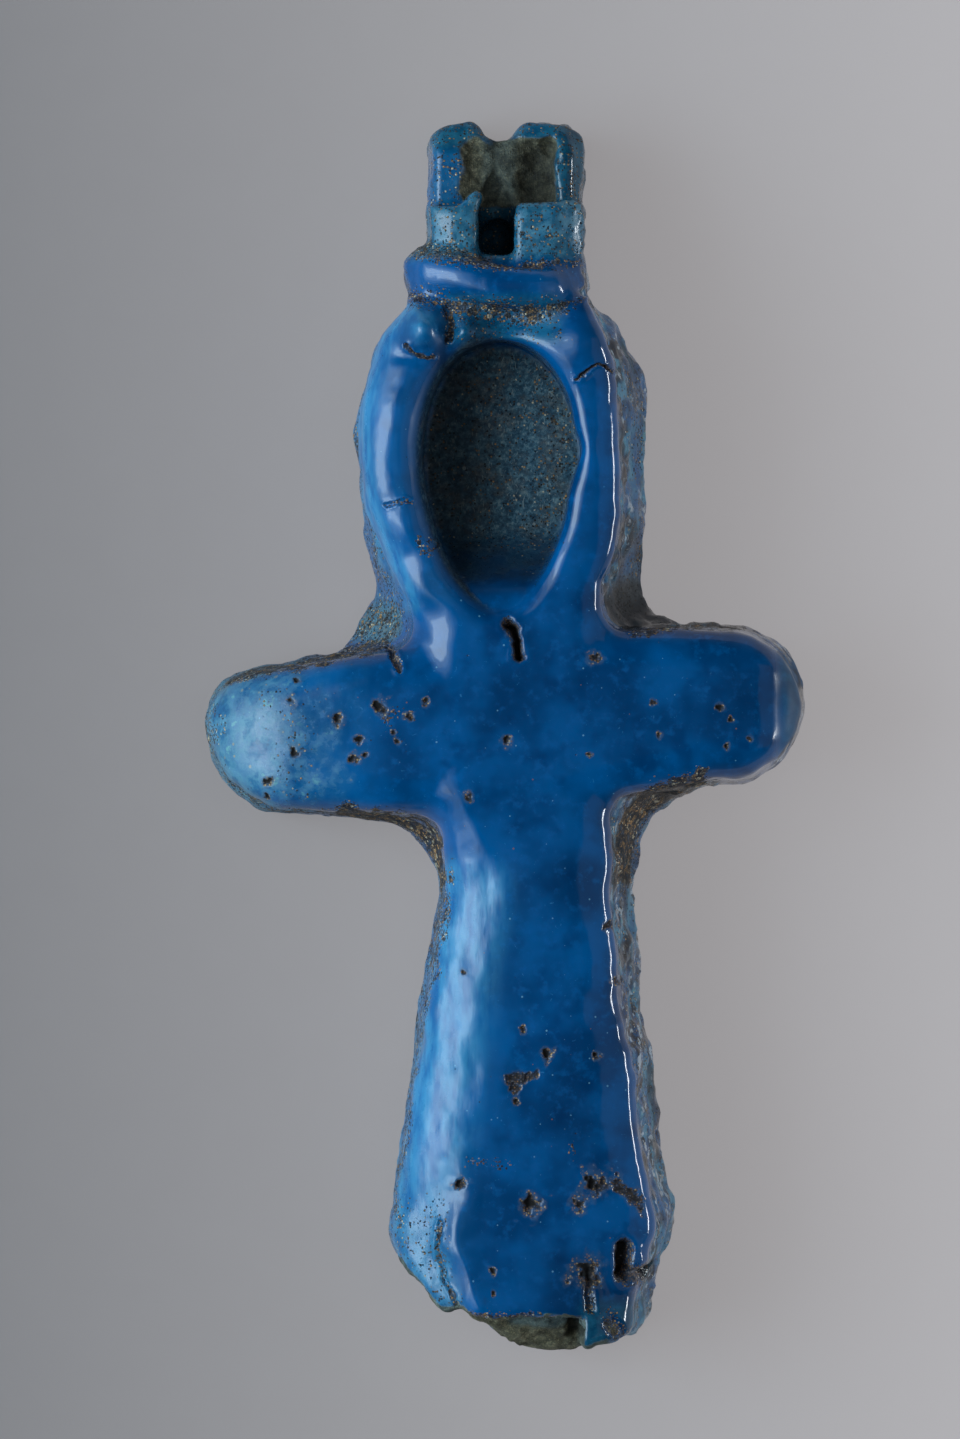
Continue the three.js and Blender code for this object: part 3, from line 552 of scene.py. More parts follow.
def marks(p, n):
    """Relief along the normal in mm, and the masks, at points p with normals n."""
    x, y, z = p.T
    face = step(0.15, 0.5, n[:, 2])
    fray = noise(x, y, z, 0.16, 41)
    ragged = noise(x, y, z, 0.34, 42)
    fray_u, fray_v = noise(x, y, z, 0.11, 45), noise(x, y, z, 0.11, 46)
    bend_u, bend_v = 0.5 * noise(x, y, z, 0.27, 47), 0.5 * noise(x, y, z, 0.27, 48)
    out = {k: np.zeros(len(p)) for k in ("relief", "fine") + MASKS}

    def raise_to(key, value):
        out[key] = np.maximum(out[key], value)

    # hand-made unevenness of the glazed skin, drawn out along the shaft's left side
    relief_d = relief_plan(x, y)
    out["relief"] += 0.04 * noise(x, y, z, 2.3, 1) + 0.016 * noise(x, y, z, 0.9, 2)
    left_side = np.maximum(step(0.8, -0.6, x) * step(-1.5, -3.5, y), step(-1.6, -2.4, x) * step(2.5, 3.5, y))
    out["relief"] += (0.2 + 0.8 * left_side) * (0.032 * noise(x, y / 2.4, z, 0.6, 3) + 0.022 * noise(x, y / 1.5, z, 0.33, 4) + 0.008 * noise(x, y, z, 0.17, 13))
    walls = step(-0.05, 0.1, relief_d) * (1 - face)
    out["relief"] += walls * (0.07 * noise(x, y / 1.6, z, 0.6, 5) + 0.03 * noise(x, y, z, 0.26, 11))
    lumpy = walls * step(0.5, 2.0, x) * (np.abs(x) < 5.5)
    out["relief"] += lumpy * (0.085 * noise(x, y / 1.3, z, 0.42, 86) + 0.03 * noise(x, y, z, 0.2, 87) + 0.05 * step(0.19, 0.26, relief_d + 0.07 * noise(0, y, 0, 0.8, 88)))

    # pits
    for cx, cy, r, depth, dark in PITS:
        m = (np.abs(x - cx) < 2.6 * r) & (np.abs(y - cy) < 2.6 * r) & (z > 2.0)
        u, v = (x[m] - cx) / r + 1.2 * bend_u[m] + 0.5 * fray_u[m], (y[m] - cy) / r + 1.2 * bend_v[m] + 0.5 * fray_v[m]
        d = np.hypot(u, v)
        out["relief"][m] += -depth * step(1.25, 0.1, d) + 0.08 * depth * np.exp(-(((d - 1.4) / 0.3) ** 2))
        inner = step(0.85, 0.25, np.hypot(u + 0.25, v - 0.15))
        out["pit"][m] = np.maximum(out["pit"][m], 0.16 * step(2.1, 1.2, d) + 0.36 * step(1.35, 0.75, d) + 0.48 * (0.3 + 0.7 * dark) * inner)
        out["fine"][m] = np.maximum(out["fine"][m], np.where(d < 1.3, 2, np.where(d < 1.8, 1, 0)))

    # flaked patches
    for cx, cy, rx, ry, turn in PATCHES:
        u = (x - cx) * math.cos(turn) + (y - cy) * math.sin(turn)
        v = (y - cy) * math.cos(turn) - (x - cx) * math.sin(turn)
        d = np.hypot(u / rx + 0.75 * bend_u + 0.3 * fray_u, v / ry + 0.9 * bend_v + 0.4 * fray_v)
        m = (z > 2.5) & (d < 1.8)
        out["relief"] -= step(1.15, 0.8, d) * (z > 2.5) * (0.06 + 0.02 * fray)
        out["pit"][m] = np.maximum(out["pit"][m], 0.12 * step(1.7, 1.1, d[m]) + 0.42 * step(1.2, 0.85, d[m]) + 0.1 * step(0.7, 0.2, d[m]))
        out["fine"][m] = np.where(d[m] < 1.3, 2, 1)

    # cracks and channels
    for points, width, depth, dark, dirty in SCARS:
        lo, hi = np.min(points, axis=0) - 5 * width, np.max(points, axis=0) + 5 * width
        m = (x > lo[0]) & (x < hi[0]) & (y > lo[1]) & (y < hi[1]) & (z > 2.0)
        wx, wy = x[m] + 0.1 * bend_u[m] + 0.03 * fray_u[m], y[m] + 0.1 * bend_v[m] + 0.03 * fray_v[m]
        d = near_line(wx, wy, points) / width
        out["relief"][m] += -depth * step(1.3, 0.1, d) + 0.02 * np.exp(-(((d - 1.8) / 0.4) ** 2))
        out["pit"][m] = np.maximum(out["pit"][m], dark * (0.12 * step(1.9, 1.1, d) + 0.42 * step(1.3, 0.8, d) + 0.44 * step(0.75, 0.15, d)))
        out["dirt"][m] = np.maximum(out["dirt"][m], dirty * step(1.9, 0.6, d))
        out["fine"][m] = np.maximum(out["fine"][m], np.where(d < 1.4, 2, np.where(d < 2.2, 1, 0)))

    # dirt in lines
    for points, width, amount in DIRT_LINES:
        d = near_line(x + 0.08 * ragged, y, points) / width + 0.45 * ragged + 0.25 * fray
        raise_to("dirt", amount * step(1.35, 0.6, d) * step(0.6, 1.4, z))

    # low webs and side walls
    under = step(12.1, 11.7, y)
    web = step(0.08, 0.3, relief_d) * step(3.6, 3.0, z) * face * under
    side = step(-0.02, 0.08, relief_d) * step(3.9, 3.5, z) * (1 - face) * under
    patchy = noise(x, y, z, 0.9, 81) + 0.6 * noise(x, y, z, 0.3, 82)
    right_side = step(0.5, 2.0, x)
    raise_to("matte", np.maximum(0.8 * web, 0.3 * side * (1 - right_side)))
    raise_to("dirt", np.maximum(0.5 * web, side * (mix(0.34, 0.1, right_side) + 0.24 * patchy)))
    # painted dark reflections: dark patches on the glossy right walls
    raise_to("shade", side * right_side * step(0.05, 0.45, noise(x, y / 1.5, z, 0.55, 83) + 0.4 * fray) * 0.88)
    raise_to("worn", 0.85 * web * step(-1.5, -2.2, x) * step(1.0, 2.0, y))
    # painted sheen: pale patches on the right walls standing in for the reflected floor
    painted_sheen_patches = step(-0.35, 0.45, noise(x, y / 1.6, z, 0.42, 84) + 0.5 * ragged)
    raise_to("worn", side * right_side * (0.35 + 0.6 * painted_sheen_patches) * (np.abs(x) < 5.5))
    # glossy right walls; the same mask carries painted glints in the colour
    raise_to("wet", side * right_side * step(-0.3, 0.1, noise(x, y / 1.4, z, 0.5, 85)))
    out["relief"] += web * 0.025 * fray
    # painted shade: the deep pocket between the loop's right bar and the right arm darkened almost to black
    pocket = np.exp(-(((x - 3.4) / 0.95) ** 2) - ((y - 3.1) / 0.85) ** 2) * step(0.0, 0.12, relief_d)
    raise_to("shade", 0.98 * step(0.1, 0.4, pocket))
    out["dirt"] *= 1 - 0.7 * step(0.1, 0.4, pocket) * step(2.9, 3.2, x)
    raise_to("teal", 0.6 * step(0.15, 0.5, pocket))

    # blind recess: grainy floor, smooth glaze where it climbs at its lower end; painted shadow over its left part and
    # painted shade on the climb
    depth_in = recess_plan(x, y) + 0.06 * ragged
    inside = step(0.1, -0.18, depth_in) * step(4.3, 3.5, z) * (y < 10.4)
    floor = inside * step(3.3, 5.8, y + 0.3 * ragged)
    raise_to("matte", np.maximum(floor, step(0.55, 0.1, depth_in) * step(0.1, -0.8, x) * step(0.75, 0.3, n[:, 2]) * (z > 2.2) * (z < 4.75) * (y > 3.0) * (y < 10.4)))
    raise_to("dirt", floor * (0.12 + 0.16 * step(0.2, 1.6, x)))
    raise_to("teal", 0.7 * floor)
    out["relief"] += floor * 0.035 * rough(x, y, z, 0.3, 2, 51)
    # painted shade on the climb at the recess's lower end
    ramp = step(0.15, -0.3, depth_in) * step(4.75, 4.3, z) * (y < 7)
    raise_to("shade", ramp * 0.6 * step(3.0, 4.2, y) * step(5.4, 4.4, y))
    raise_to("dull", step(0.95, 0.4, depth_in) * step(-0.2, -1.0, x) * step(0.93, 0.7, n[:, 2]) * step(-0.05, 0.2, n[:, 0]) * (z > 2.2) * (y > 3.0) * (y < 10.4))
    # painted shadow: the recess's left part, under the left rim, darkened
    raise_to("shade", inside * np.maximum(0.79 * step(0.6, -1.2, x + 0.25 * ragged), 0.5 * step(2.9, 3.9, y) * step(6.0, 4.0, y) * step(1.9, 0.6, x)))

    # collar's two grooves and the top of the loop
    m = y > HEAD_Y
    c = np.full(len(p), 9.0)
    c[m] = collar(x[m], y[m], z[m])
    middle = 11.42 + 0.09 * np.maximum(0, -x) ** 1.6 + 0.04 * np.maximum(0, x) ** 2
    above = step(0.3, 0.0, np.abs(c - 0.05) + 0.08 * ragged) * step(0.25, 0.5, y - middle) * step(2.0, 2.6, z)
    below = step(0.5, 0.05, np.abs(c - 0.12) + 0.1 * ragged) * step(-0.4, -0.6, y - middle) * step(2.0, 2.6, z)
    raise_to("dirt", np.maximum(0.7 * above, 0.68 * below))
    # painted shade in the groove under the collar's right half
    raise_to("shade", 0.65 * below * step(0.9, 1.6, x))
    # painted light: the collar's roll and the knob on the loop's upper left made a paler sky blue
    roll = step(0.06, -0.04, np.abs(c) - 0.12) * step(3.0, 3.6, z) * step(-0.1, 0.1, 0.5 - np.abs(y - middle))
    raise_to("thin", 0.12 * roll)
    raise_to("thin", 0.6 * np.exp(-(((x + 2.0) / 0.6) ** 2) - ((y - 10.4) / 0.7) ** 2) * face)
    top = step(9.75, 10.1, y) * step(11.3, 11.0, y) * step(-1.7, -1.3, x) * step(1.7, 1.2, x) * face
    raise_to("teal", 0.75 * top)
    raise_to("dirt", 0.2 * top)
    raise_to("teal", 0.4 * np.exp(-(((x + 1.95) / 0.5) ** 2) - ((y - 10.5) / 0.5) ** 2))
    raise_to("dirt", 0.4 * step(-1.2, -1.7, x) * step(10.7, 11.0, y) * step(11.5, 11.2, y))

    # lug: broken core between its glazed sides; painted shade darkest in the bore's open back, down its right side and
    # in the slot, painted light on its left strip
    wave = 0.1 * noise(x, y, 0, 0.55, 31) + 0.05 * noise(x, y, 0, 0.2, 33) + 0.04 * ragged
    up = step(11.9, 12.3, y)
    broken = step(-1.3, -0.8, x + wave) * step(1.55, 1.05, x + wave) * step(15.45, 14.9, y + wave) * step(13.25, 13.65, y) * step(3.5, 3.2, z)
    bore = step(0.55, 0.3, np.abs(x - BORE["x"] - 0.1)) * step(13.2, 13.6, y)
    raise_to("core", broken * (1 - 0.25 * bore))
    raise_to("matte", 0.7 * broken)
    strip = step(-0.8, -1.1, x + wave) * step(15.1, 14.7, y) * step(13.3, 13.6, y)
    raise_to("teal", up * np.where(broken > 0.5, 0.3 + 0.3 * bore, mix(1.0, 0.62, strip)))
    # painted light: the lug's left strip made paler
    raise_to("thin", up * mix(0.0, 0.2, strip))
    # painted shade: the bore's open back and the deeper right part darkened
    raise_to("shade", broken * (0.22 + 0.54 * step(0.1, 0.6, x + wave) * step(15.3, 14.7, y) + 0.34 * bore))
    # painted shade down the lug's right side
    raise_to("shade", 0.4 * up * step(1.2, 1.6, x) * step(3.7, 3.2, z))
    stub = up * step(14.1, 13.8, y) * step(3.3, 3.6, z)
    raise_to("worn", 0.42 * stub)
    raise_to("worn", 0.6 * stub * step(13.3, 13.5, y) * step(0.2, 0.4, x))
    # painted shadow inside the slot under the lug, darkest low down
    slot = step(0.6, 0.4, np.abs(x - BORE["x"])) * step(12.0, 12.2, y) * step(3.9, 3.2, z) * (y < 14.2)
    raise_to("shade", slot * (0.36 + 0.44 * step(13.8, 13.0, y) + 0.16 * step(-0.6, 0.2, x) * step(13.4, 12.9, y)))
    raise_to("dirt", 0.25 * slot)
    raise_to("dirt", 0.22 * up)
    out["dirt"] = np.where(up * (1 - slot) > 0.5, np.minimum(out["dirt"], 0.22 + 0.5 * above), out["dirt"])
    raise_to("dirt", 0.42 * broken)

    # foot: bare core under the glazed face, a hole with painted shade in it, and two blocks of glaze
    bare = step(FOOT_FACE_Y + 0.14, FOOT_FACE_Y - 0.06, y + 0.12 * fray) * step(-1.2, -0.8, x) * step(2.15, 1.95, x)
    groove = np.exp(-(((x - 2.78 + 0.35 * (y + 14.8) + 0.12 * ragged) / 0.28) ** 2) - ((y + 14.85 + 0.1 * fray) / 0.4) ** 2)
    hole = np.hypot((x - 1.78) / 0.22, (y + 15.0) / 0.32) + 0.25 * fray
    edge = step(0.3, 0.05, y - foot(x)) * step(0.8, 1.4, z)
    raise_to("core", np.maximum(bare, 0.7 * edge * step(3.0, 2.4, x)) * step(0.4, 1.2, z))
    raise_to("core", 0.46 * step(0.2, 0.85, groove + 0.2 * ragged))
    raise_to("dirt", 0.5 * step(0.1, 0.6, groove))
    # painted shade: the hole darkened
    raise_to("shade", 0.9 * step(1.1, 0.6, hole) * (z > 1.2))
    raise_to("teal", 0.8 * step(-13.9, -14.6, y) * step(1.7, 2.1, x) * step(0.7, 0.1, groove))
    pale_band = step(-15.02, -14.86, y + 0.1 * ragged) * step(0.0, 0.25, x)
    raise_to("teal", bare * mix(0.15, 1.0, pale_band))
    raise_to("shade", bare * (0.1 * step(-0.4, -0.9, x) + 0.4 * step(1.2, 1.5, x + 0.2 * ragged) * (1 - pale_band)))
    rust = bare * step(0.16, 0.02, np.abs(y - FOOT_FACE_Y + 0.02) + 0.05 * ragged)
    raise_to("dirt", 0.95 * rust)
    out["relief"] -= 0.25 * step(1.1, 0.5, hole) * (z > 1.2) + 0.1 * step(0.4, 0.8, groove) * (z > 2.0)
    out["fine"][(hole < 1.8) & (z > 1.2)] = 1

    # where the glaze is thin and worn pale, with painted light on the lump and the left arm and painted shade at the
    # right arm's end
    left_end = step(-2.5, -7.6, x + 0.5 * ragged + 0.9 * noise(x, y, z, 1.1, 61)) * (np.abs(y) < 3)
    lump = step(0.1, -0.35, x - ridge(y)) * step(-11.0, -12.3, y) * step(2.2, 3.0, z)
    low_edge = step(0.6, 0.1, x - shaft_left(y)) * step(-8.5, -11.0, y)
    raise_to("worn", np.maximum(0.85 * left_end, np.maximum(0.3 * lump, 0.35 * low_edge)))
    raise_to("teal", np.maximum(np.maximum(0.8 * lump, 0.5 * low_edge), 0.5 * step(6.8, 7.2, x)))
    raise_to("dirt", left_end * (0.16 * step(-0.1, 0.5, noise(x, y, z, 0.8, 89)) + 0.4 * step(-7.2, -7.55, x + 0.2 * ragged)))
    # painted shade at the right arm's end
    raise_to("shade", 0.45 * step(6.9, 7.4, x))
    raise_to("dull", step(6.7, 7.1, x))
    # painted light: the lump and the left arm made a paler sky blue
    raise_to("thin", 0.32 * lump)
    raise_to("thin", 0.3 * step(-1.5, -4.0, x) * (np.abs(y) < 3) * face)
    raise_to("dirt", 0.15 * lump)
    # darker patches from the shade mask: right arm's end, shoulder of the loop, lower right of the shaft
    for cx, cy, rx, ry, amount in ((6.2, 1.0, 1.4, 1.6, 0.2), (0.2, 0.9, 2.4, 1.7, 0.16), (2.4, 9.9, 0.9, 0.8, 0.42), (1.6, -10.0, 1.6, 2.2, 0.22), (2.6, 0.2, 0.9, 1.2, 0.14), (1.4, -3.3, 1.2, 1.4, 0.16), (2.0, -13.9, 1.7, 1.8, 0.4)):
        raise_to("shade", amount * np.exp(-(((x - cx) / rx) ** 2) - ((y - cy) / ry) ** 2) * face)
    # painted light: sky blue laid on the rolls that face the lamp, along the shaft's left side and the loop's left bar,
    # partly thin glaze
    inner = x - shaft_left(y) - INSET_LEFT
    lit_side_sky_blue = (0.42 * step(2.3, 0.6, inner) * mix(0.45, 1.0, step(-12.6, -9.6, y)) + 0.34 * step(3.2, 0.9, inner)) * step(-2.2, -3.8, y) * (y < 0)
    bar = x - bar_left(y)
    raise_to("thin", np.maximum(lit_side_sky_blue, (0.5 * step(0.6, 0.0, bar) * step(-0.5, 0.0, bar) + 0.3 * step(2.0, 1.0, bar)) * step(2.6, 3.6, y) * (y < 11) * (x < 0)))

    # broken and bare places are rough
    out["relief"] += out["core"] * (0.075 * rough(x, y, z, 0.45, 3, 71) - 0.02)
    out["relief"] += out["dirt"] * 0.012 * fray
    out["fine"][(out["fine"] < 1) & (out["core"] > 0.3)] = 1
    # the crisp right border of the relief
    border = (np.abs(relief_d + 0.08) < 0.3) & (x > 1.2) & (z > 3.5) & ((y < -1.0) | (y > 3.0))
    out["fine"][border & (out["fine"] < 1)] = 1
    return out


def build(name, cell):
    xs = np.arange(-8.2, 8.2 + cell, cell)
    ys = np.arange(-16.1, 16.1 + cell, cell)
    low = np.array([-0.24, -0.12, 0.0, 0.12, 0.25, 0.4, 0.58, 0.8, 1.05, 1.3, 1.55, 1.8])
    zs = np.concatenate([low, np.arange(2.0, 5.6, cell)])
    x, y, z = xs[:, None, None], ys[None, :, None], np.maximum(zs, 0)[None, None, :]
    value = body(x, y, z)
    m = ys > HEAD_Y
    value[:, m, :] = head(value[:, m, :], x, y[:, m, :], z)
    verts, tris = skin(value, xs, ys, zs)
    # the walls run straight down to the back's plane and are cut there
    verts = settle(verts, tris, 3, verts[:, 2] < 0.3)
    keep = ~(verts[tris][:, :, 2] < 0).all(axis=1)
    tris = tris[keep]
    used = np.unique(tris)
    table = np.full(len(verts), -1)
    table[used] = np.arange(len(used))
    verts, tris = verts[used], table[tris]
    verts[verts[:, 2] < 0, 2] = 0
    # finer where there are marks
    n = gradient(verts)
    n /= np.linalg.norm(n, axis=1)[:, None]
    fine = marks(verts, n)["fine"]
    for level in (0.5, 1.5):
        count = len(verts)
        verts, tris = refine(verts, tris, (fine[tris] > level).any(axis=1))
        fine = np.concatenate([fine, np.zeros(len(verts) - count)])
        if level < 1:
            n = gradient(verts[count:])
            n /= np.maximum(np.linalg.norm(n, axis=1), 1e-6)[:, None]
            fine[count:] = marks(verts[count:], n)["fine"]
    n = gradient(verts)
    length = np.linalg.norm(n, axis=1)[:, None]
    off = amulet(verts)[:, None] / np.maximum(length, 0.3) ** 2
    ground = verts[:, 2] < 1e-6
    verts = verts - np.where(ground[:, None], 0, np.clip(off, -0.03, 0.03) * n)
    n /= np.maximum(length, 1e-6)
    m = marks(verts, n)
    verts = verts + n * (m["relief"] * step(0.0, 0.35, verts[:, 2]))[:, None]
    verts[ground, 2] = 0
    verts[:, 2] = np.maximum(verts[:, 2], 0)
    # the back is plain glaze, a little worn and dusty all over
    for key in MASKS:
        m[key][ground] = dict(worn=0.16, dirt=0.14, teal=0.2).get(key, 0.0)
    # close the flat back with one face along the ring of open edges
    edges = np.concatenate([tris[:, [0, 1]], tris[:, [1, 2]], tris[:, [2, 0]]])
    there = set(map(tuple, edges.tolist()))
    after = {b: a for a, b in there if (b, a) not in there}
    rings = []
    while after:
        start, ring = next(iter(after)), []
        v = start
        while v in after:
            ring.append(v)
            v = after.pop(v)
        rings.append(ring)
    faces = tris.tolist() + [r for r in rings if len(r) > 2]
    mesh = bpy.data.meshes.new(name)
    mesh.from_pydata((verts * MM).tolist(), [], faces)
    mesh.update()
    for key in MASKS:
        layer = mesh.attributes.new(key, "FLOAT", "POINT")
        layer.data.foreach_set("value", np.clip(m[key], 0, 1).astype(np.float32))
    smooth = np.ones(len(faces), bool)
    smooth[len(tris) :] = False
    mesh.polygons.foreach_set("use_smooth", smooth)
    mesh.update()
    print("amulet mesh", len(verts), "points", len(tris), "triangles", len(rings), "rings")
    obj = bpy.data.objects.new(name, mesh)
    bpy.context.scene.collection.objects.link(obj)
    return obj


# ---- material ----
def srgb(r, g, b):
    lin = [(c / 255 / 12.92) if c <= 10.3 else ((c / 255 + 0.055) / 1.055) ** 2.4 for c in (r, g, b)]
    return (*lin, 1.0)


class Nodes:
    """Short calls for building a node tree."""

    def __init__(self, material):
        material.use_nodes = True
        self.tree = material.node_tree
        self.tree.nodes.clear()
        self.out = self.tree.nodes.new("ShaderNodeOutputMaterial")

    def put(self, socket, value):
        if hasattr(value, "is_linked") or hasattr(value, "links"):
            self.tree.links.new(value, socket)
        else:
            socket.default_value = value

    def new(self, kind, inputs=(), **settings):
        node = self.tree.nodes.new(kind)
        for key, value in settings.items():
            setattr(node, key, value)
        for key, value in dict(inputs).items():
            self.put(node.inputs[key], value)
        return node

    def math(self, op, a, b=0.0, c=0.0, clamp=False):
        node = self.new("ShaderNodeMath", {0: a, 1: b, 2: c}, operation=op, use_clamp=clamp)
        return node.outputs[0]

    def attribute(self, name):
        return self.new("ShaderNodeAttribute", attribute_name=name).outputs["Fac"]

    def noise(self, at, scale, detail=2.0, rough=0.5, distortion=0.0):
        node = self.new("ShaderNodeTexNoise", {"Vector": at, "Scale": scale, "Detail": detail, "Roughness": rough, "Distortion": distortion})
        return node.outputs["Fac"]

    def specks(self, at, scale, size, spread=0.5):
        """Small dots: 1 in a dot of random size."""
        node = self.new("ShaderNodeTexVoronoi", {"Vector": at, "Scale": scale, "Randomness": 1.0}, feature="F1")
        chance = self.new("ShaderNodeSeparateColor", {0: node.outputs["Color"]}).outputs[0]
        limit = self.math("MULTIPLY", self.math("SUBTRACT", chance, 1 - spread, clamp=True), size / spread)
        return self.ramp(self.math("SUBTRACT", limit, node.outputs["Distance"]), 0.0, size * 0.25)

    def ramp(self, value, low, high):
        node = self.new("ShaderNodeMapRange", {0: value, 1: low, 2: high, 3: 0.0, 4: 1.0}, interpolation_type="SMOOTHSTEP")
        return node.outputs[0]

    def palette(self, value, colors, hard=False):
        """Colours along 0 to 1: a list of (place, colour)."""
        node = self.new("ShaderNodeValToRGB", {0: value})
        node.color_ramp.interpolation = "CONSTANT" if hard else "LINEAR"
        stops = node.color_ramp.elements
        while len(stops) < len(colors):
            stops.new(0.5)
        for stop, (place, color) in zip(stops, colors):
            stop.position, stop.color = place, color
        return node.outputs[0]

    def grains(self, at, scale):
        """Packed grains: nearness to the grain's middle, and three random numbers for each."""
        node = self.new("ShaderNodeTexVoronoi", {"Vector": at, "Scale": scale, "Randomness": 1.0}, feature="F1")
        parts = self.new("ShaderNodeSeparateColor", {0: node.outputs["Color"]})
        return node.outputs["Distance"], parts.outputs[0], parts.outputs[1], parts.outputs[2]

    def blend(self, factor, a, b, kind="MIX"):
        node = self.new("ShaderNodeMix", data_type="RGBA", blend_type=kind)
        self.put(node.inputs["Factor"], factor)
        self.put(node.inputs[6], a)
        self.put(node.inputs[7], b)
        return node.outputs[2]

    def value(self, factor, a, b):
        node = self.new("ShaderNodeMix", data_type="FLOAT")
        self.put(node.inputs["Factor"], factor)
        self.put(node.inputs[2], a)
        self.put(node.inputs[3], b)
        return node.outputs[0]


def faience():
    material = bpy.data.materials.new("blue_faience")
    g = Nodes(material)
    where = g.new("ShaderNodeTexCoord").outputs["Object"]
    at = g.new("ShaderNodeVectorMath", {0: where, 1: (1000.0, 1000.0, 1000.0)}, operation="MULTIPLY").outputs[0]
    drawn = g.new("ShaderNodeVectorMath", {0: where, 1: (1000.0, 260.0, 1000.0)}, operation="MULTIPLY").outputs[0]
    dirt, pit, core, worn, matte, thin, shade, teal, dull, wet = (g.attribute(k) for k in MASKS)
    times, plus, less, most = (lambda a, b: g.math("MULTIPLY", a, b)), (lambda a, b: g.math("ADD", a, b)), (lambda a, b: g.math("SUBTRACT", a, b)), (lambda a, b: g.math("MAXIMUM", a, b))

    cloud = g.noise(at, 0.45, 3.0, 0.55)
    spots = g.noise(at, 1.25, 2.0, 0.5)
    mottled = g.noise(at, 3.4, 4.0, 0.6)
    grain = g.noise(at, 14.0, 3.0, 0.6)
    streak = g.noise(drawn, 2.6, 3.0, 0.6)

    # glaze: deep blue with soft darker spots; sky blue where it is thin at the left edges, which is also painted light
    # on the rolls that face the lamp
    blue = g.blend(g.ramp(cloud, 0.36, 0.64), srgb(0, 57, 104), srgb(0, 82, 142))
    blue = g.blend(times(g.ramp(spots, 0.5, 0.74), 0.5), blue, srgb(0, 42, 86))
    blue = g.blend(times(g.ramp(mottled, 0.5, 0.72), 0.5), blue, srgb(0, 90, 154))
    blue = g.blend(times(teal, 0.85), blue, g.blend(g.ramp(mottled, 0.35, 0.65), srgb(12, 74, 100), srgb(34, 104, 130)))
    lit_side_sky_blue = g.blend(g.ramp(streak, 0.34, 0.66), srgb(8, 102, 162), srgb(60, 146, 194))
    lit_side_sky_blue = g.blend(g.ramp(thin, 0.15, 0.6), srgb(0, 96, 160), lit_side_sky_blue)
    color = g.blend(thin, blue, lit_side_sky_blue)

    # worn, patinated glaze; on the right walls a painted pale sheen for the reflected floor
    pale = g.palette(g.noise(at, 2.0, 5.0, 0.68), [(0.3, srgb(12, 82, 126)), (0.43, srgb(44, 112, 148)), (0.52, srgb(82, 138, 162)), (0.6, srgb(72, 124, 160)), (0.68, srgb(116, 178, 176)), (0.77, srgb(100, 142, 176))])
    wear_and_sheen_at = g.ramp(plus(worn, times(g.ramp(worn, 0.02, 0.2), plus(times(less(mottled, 0.5), 0.8), times(less(cloud, 0.5), 0.5)))), 0.1, 1.0)
    color = g.blend(wear_and_sheen_at, color, pale)

    color = g.blend(times(g.specks(at, 3.4, 0.34, 0.5), times(wear_and_sheen_at, 0.6)), color, srgb(28, 78, 108))
    color = g.blend(times(g.specks(at, 4.7, 0.27, 0.4), times(wear_and_sheen_at, 0.85)), color, srgb(150, 140, 110))
    # painted pale glints and painted dark reflections on the lumpy right walls
    color = g.blend(times(wet, g.ramp(g.noise(at, 2.6, 3.0, 0.6), 0.56, 0.44)), color, srgb(18, 30, 44))
    color = g.blend(times(times(wet, 0.72), g.ramp(g.noise(at, 4.2, 2.0, 0.5), 0.55, 0.62)), color, srgb(184, 200, 212))

    # fine flecks: pale fibres and dark pinholes
    light_specks = g.specks(at, 6.5, 0.2, 0.12)
    fibres = g.ramp(g.noise(at, 7.5, 2.0, 0.5, 1.6), 0.7, 0.76)
    dark_specks = g.specks(at, 3.3, 0.1, 0.22)
    color = g.blend(times(fibres, 0.4), color, srgb(52, 134, 186))
    color = g.blend(times(light_specks, 0.5), color, srgb(112, 178, 210))
    color = g.blend(times(dark_specks, 0.75), color, srgb(26, 32, 38))
    color = g.blend(times(g.specks(at, 4.1, 0.12, 0.16), 0.7), color, srgb(128, 98, 70))

    # matte grainy skin of the recess floor and the webs
    sandy = g.palette(g.noise(at, 7.0, 5.0, 0.75), [(0.34, srgb(12, 30, 40)), (0.46, srgb(34, 66, 82)), (0.56, srgb(66, 102, 116)), (0.7, srgb(120, 144, 146))])
    sandy = g.blend(times(g.ramp(g.noise(at, 1.6, 3.0, 0.6), 0.42, 0.62), 0.5), sandy, g.palette(g.noise(at, 9.0, 3.0, 0.7), [(0.35, srgb(22, 22, 20)), (0.5, srgb(70, 67, 58)), (0.66, srgb(124, 114, 92))]))
    strokes = g.noise(g.new("ShaderNodeVectorMath", {0: at, 1: (9.0, 3.2, 9.0)}, operation="MULTIPLY").outputs[0], 1.0, 1.0, 0.5, 2.2)
    sandy = g.blend(times(g.ramp(strokes, 0.64, 0.7), 0.55), sandy, srgb(140, 156, 152))
    color = g.blend(times(matte, 0.85), color, sandy)
    flake_near, flake_a, flake_b, flake_c = g.grains(at, 5.0)
    flakes = times(g.ramp(less(less(0.3, times(flake_b, 0.12)), flake_near), 0.0, 0.05), times(g.ramp(flake_a, 0.86, 0.89), matte))
    color = g.blend(times(flakes, 0.6), color, g.palette(flake_c, [(0.0, srgb(150, 160, 156)), (0.4, srgb(176, 150, 112)), (0.6, srgb(130, 84, 56)), (0.75, srgb(16, 22, 26))], hard=True))

